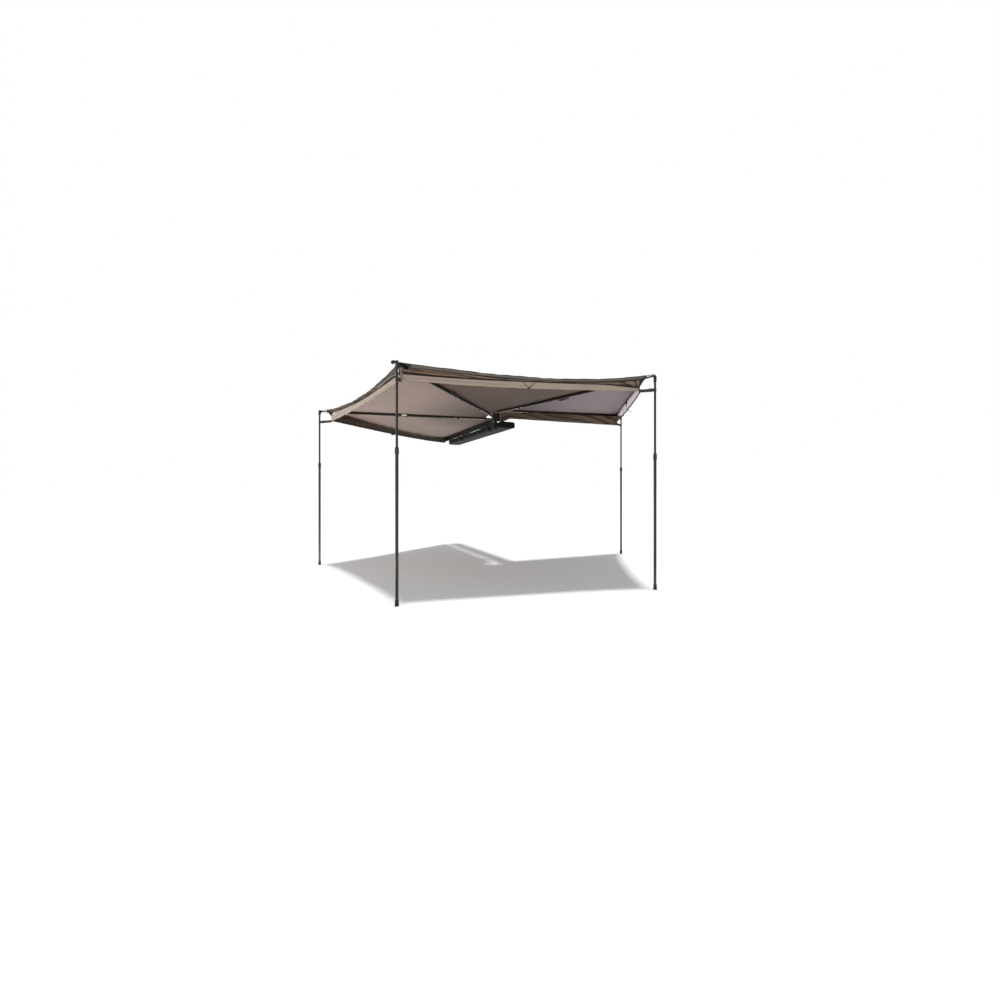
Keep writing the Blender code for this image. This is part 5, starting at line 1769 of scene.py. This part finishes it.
    def webbing(self) -> None:
        """Pass two straps from the bag under the rail, each with a cam buckle and a hanging tail."""
        draft, buckles = Draft(), Draft()
        side = np.array([0.0, 1.0, 0.0])
        x = np.array([0.0830, 0.0780, 0.0640, 0.0420, 0.0270, 0.0214, 0.0206, 0.0207, 0.0209])
        z = np.array([0.0600, 0.0607, 0.0609, 0.0609, 0.0609, 0.0575, 0.0400, 0.0120, -0.0180])
        for forward in self.straps:
            path = resampled(np.stack([x, np.full_like(x, forward), z], -1) + np.array([*FAN.hub, 0.0]), 48)
            draft.strap(path, np.cross(np.gradient(path, axis=0), side), 0.025, 0.0018)
            middle = np.array([0.0205 + FAN.hub[0], forward + FAN.hub[1], 0.0310])
            buckles.pebble(middle, (0.0060, 0.031, 0.026), np.eye(3), 0.3)
            buckles.pebble(middle + np.array([-0.0016, 0.0, 0.004]), (0.0060, 0.024, 0.012), np.eye(3), 0.4)
        settle(draft.make("storage_bag_straps", STRAP), "base")
        settle(buckles.make("storage_bag_buckles", NYLON), "base")


@dataclass
class Studio:
    """Floor, lights and the camera at the photograph's viewing angle."""

    lens: float = 15.34
    shift_y: float = -0.00893
    place: tuple[float, float, float] = (-2.077, -5.051, -0.754)
    yaw: float = -24.0
    ambient: float = 0.45
    glow_size: float = 1.4
    middle: tuple[float, float, float] = (-0.6, -0.9, 0.0)

    def build(self) -> None:
        """Set up the stage."""
        self.floor()
        self.world()
        self.overhead()
        self.area("front_fill", (-4.5, -7.5, 0.8), 5.0, 110.0)
        self.area("left_fill", (-7.0, 0.5, 0.6), 4.0, 105.0)
        self.glow("left_bounce", (-2.2, -0.3), 26.0, (1.0, 0.97, 0.94))
        self.glow("right_bounce", (1.2, -2.0), 7.0, (1.0, 0.92, 1.0))
        camera = bpy.data.cameras.new("camera")
        camera.lens = self.lens
        camera.sensor_width = 36.0
        camera.shift_y = self.shift_y
        camera.clip_end = 400.0
        item = link("camera", camera)
        item.location = self.place
        item.rotation_euler = (math.radians(90), 0.0, math.radians(self.yaw))
        bpy.context.scene.camera = item
        bpy.context.scene.view_settings.view_transform = "Standard"

    def floor(self) -> None:
        """Lay a plain pale floor under the feet."""
        x, y = np.meshgrid(np.linspace(-150, 150, 3), np.linspace(-150, 150, 3))
        grid = np.stack([x, y, np.full_like(x, FAN.ground - 0.0005)], -1)
        finish = Finish("pale_floor", "floor", "f6f6f5", "f2f2f1", 0.95, grain_mm=4.0, depth_mm=0.02, patch_mm=900)
        mesh = bpy.data.meshes.new("floor")
        quads = [[0, 1, 4, 3], [1, 2, 5, 4], [3, 4, 7, 6], [4, 5, 8, 7]]
        mesh.from_pydata(grid.reshape(-1, 3).tolist(), [], quads)
        mesh.materials.append(finish.build())
        link("floor", mesh)

    def world(self) -> None:
        """Light everything softly from a white room, which shows a little brighter than it shines."""
        world = bpy.data.worlds.new("white_room")
        world.use_nodes = True
        tree = world.node_tree
        back = tree.nodes["Background"]
        back.inputs["Color"].default_value = (1.0, 1.0, 1.0, 1.0)
        seen = add_node(tree, "ShaderNodeLightPath").outputs["Is Camera Ray"]
        level = add_node(tree, "ShaderNodeMapRange", {3: self.ambient, 4: 1.0}, {0: seen})
        tree.links.new(level.outputs["Result"], back.inputs["Strength"])
        bpy.context.scene.world = world

    def overhead(self) -> None:
        """Shine a wide soft light straight down, so that the canopy shades the floor between the feet."""
        light = bpy.data.lights.new("overhead", "SUN")
        light.energy = 2.4
        light.angle = math.radians(5)
        link("overhead", light).location = (0.0, 0.0, 8.0)

    def softbox(self, name: str, place: Sequence[float], size: float, power: float,
                tint: Sequence[float] = (1.0, 1.0, 1.0)) -> Item:
        """Place a square area light.

        Args:
            name: the light's name.
            place: where it stands.
            size: its width, in metres.
            power: its power, in watts.
            tint: its linear colour.

        Returns:
            The light, which faces down.
        """
        light = bpy.data.lights.new(name, "AREA")
        light.size = size
        light.energy = power
        light.color = tint
        item = link(name, light)
        item.location = place
        return item

    def glow(self, name: str, place: Sequence[float], power: float, tint: Sequence[float]) -> None:
        """Lay a softbox on the floor, facing up at the canopy and unseen itself."""
        item = self.softbox(name, (*place, FAN.ground + 0.02), self.glow_size, power, tint)
        item.rotation_euler = (math.pi, 0.0, 0.0)
        item.visible_camera = False

    def area(self, name: str, place: Sequence[float], size: float, power: float) -> None:
        """Hang a softbox that faces the awning."""
        away = np.asarray(place) - np.array(self.middle)
        turn = (0.0, math.acos(away[2] / np.linalg.norm(away)), math.atan2(away[1], away[0]))
        self.softbox(name, place, size, power).rotation_euler = turn


def dress_remaining() -> None:
    """Give every CAD node that still shows its finish."""
    finishes = {finish.slot: finish for finish in (PLATE, CASTING, NYLON, BUSH, ZINC, RUBBER)}
    slots = {row["node"]: row["material_slot"] for row in frame["record"]["subparts"]}
    for name, node in frame["nodes"].items():
        if not node.hide_render:
            node.data.materials.clear()
            node.data.materials.append(finishes[slots[name]].build())
            LOG.info("%s keeps its own shape", name)


def panels() -> list[Panel]:
    """The four panels, each with its own tape, band and lower corners.

    Returns:
        The panels, from the rail round to the last rafter.
    """
    return [
        Panel(0, "canopy_rail_a", inside=SHADED_INSIDE, free_end=(0.55, 1.97, 0.012, 0.026)),
        # painted light and shade: the pale band is taller towards A where the cloth is lit, and the smoke tape with the
        # dark strip below it widens towards B where the cloth hangs in shade
        Panel(1, "canopy_a_b", tapes=((0.0, 0.014), (0.25, 0.012), (0.65, 0.022), (1.0, 0.046)), trim=SMOKE,
              bands=((0.0, 0.096), (0.25, 0.074), (0.45, 0.052), (0.65, 0.044), (1.0, 0.050)),
              low_gaps=(0.135, 0.095), tape_shadows=((0.0, 0.006), (0.25, 0.016), (0.50, 0.024), (1.0, 0.022)),
              cleats=(0.140, -0.014), tied=False),
        # painted shade: the band narrows at C's end, the dark strips widen under the tape near C and over the band in
        # the middle, and the underside is the shaded copy
        Panel(2, "canopy_b_c", tapes=((0.0, 0.026), (0.5, 0.021), (1.0, 0.020)),
              bands=((0.0, 0.046), (0.5, 0.056), (0.84, 0.052), (1.0, 0.026)), pleat=0.006, skew=1.2, pulls=(0.0, 1.0),
              low_gaps=(0.095, 0.135), tape_shadows=((0.0, 0.003), (0.6, 0.003), (0.72, 0.010), (1.0, 0.012)),
              band_shadows=((0.0, 0.002), (0.15, 0.003), (0.34, 0.013), (0.62, 0.016), (0.74, 0.004), (1.0, 0.002)),
              under=SHADED_UNDER),
        Panel(3, "canopy_c_d", fullness=0.08, free_end=(0.40, 1.25, 0.045, 0.022), under=MAUVE_LIT_UNDER, inside=BACKLIT_LINING)]


def main() -> None:
    """Build every sub-assembly in order."""
    logging.basicConfig(level=logging.INFO, format="%(message)s")
    Studio().build()
    for panel in panels():
        panel.build()
    Flap().build()
    for side in Side:
        Rafter(side).build()
    for leg in (Leg(Side.A), Leg(Side.B, strap_start=0.097), Leg(Side.C, strap_drop=0.116, strap_rise=0.006),
                Leg(Side.D)):
        leg.build()
    Base().build()
    Bag().build()
    dress_remaining()


if __name__ == "__main__":
    main()
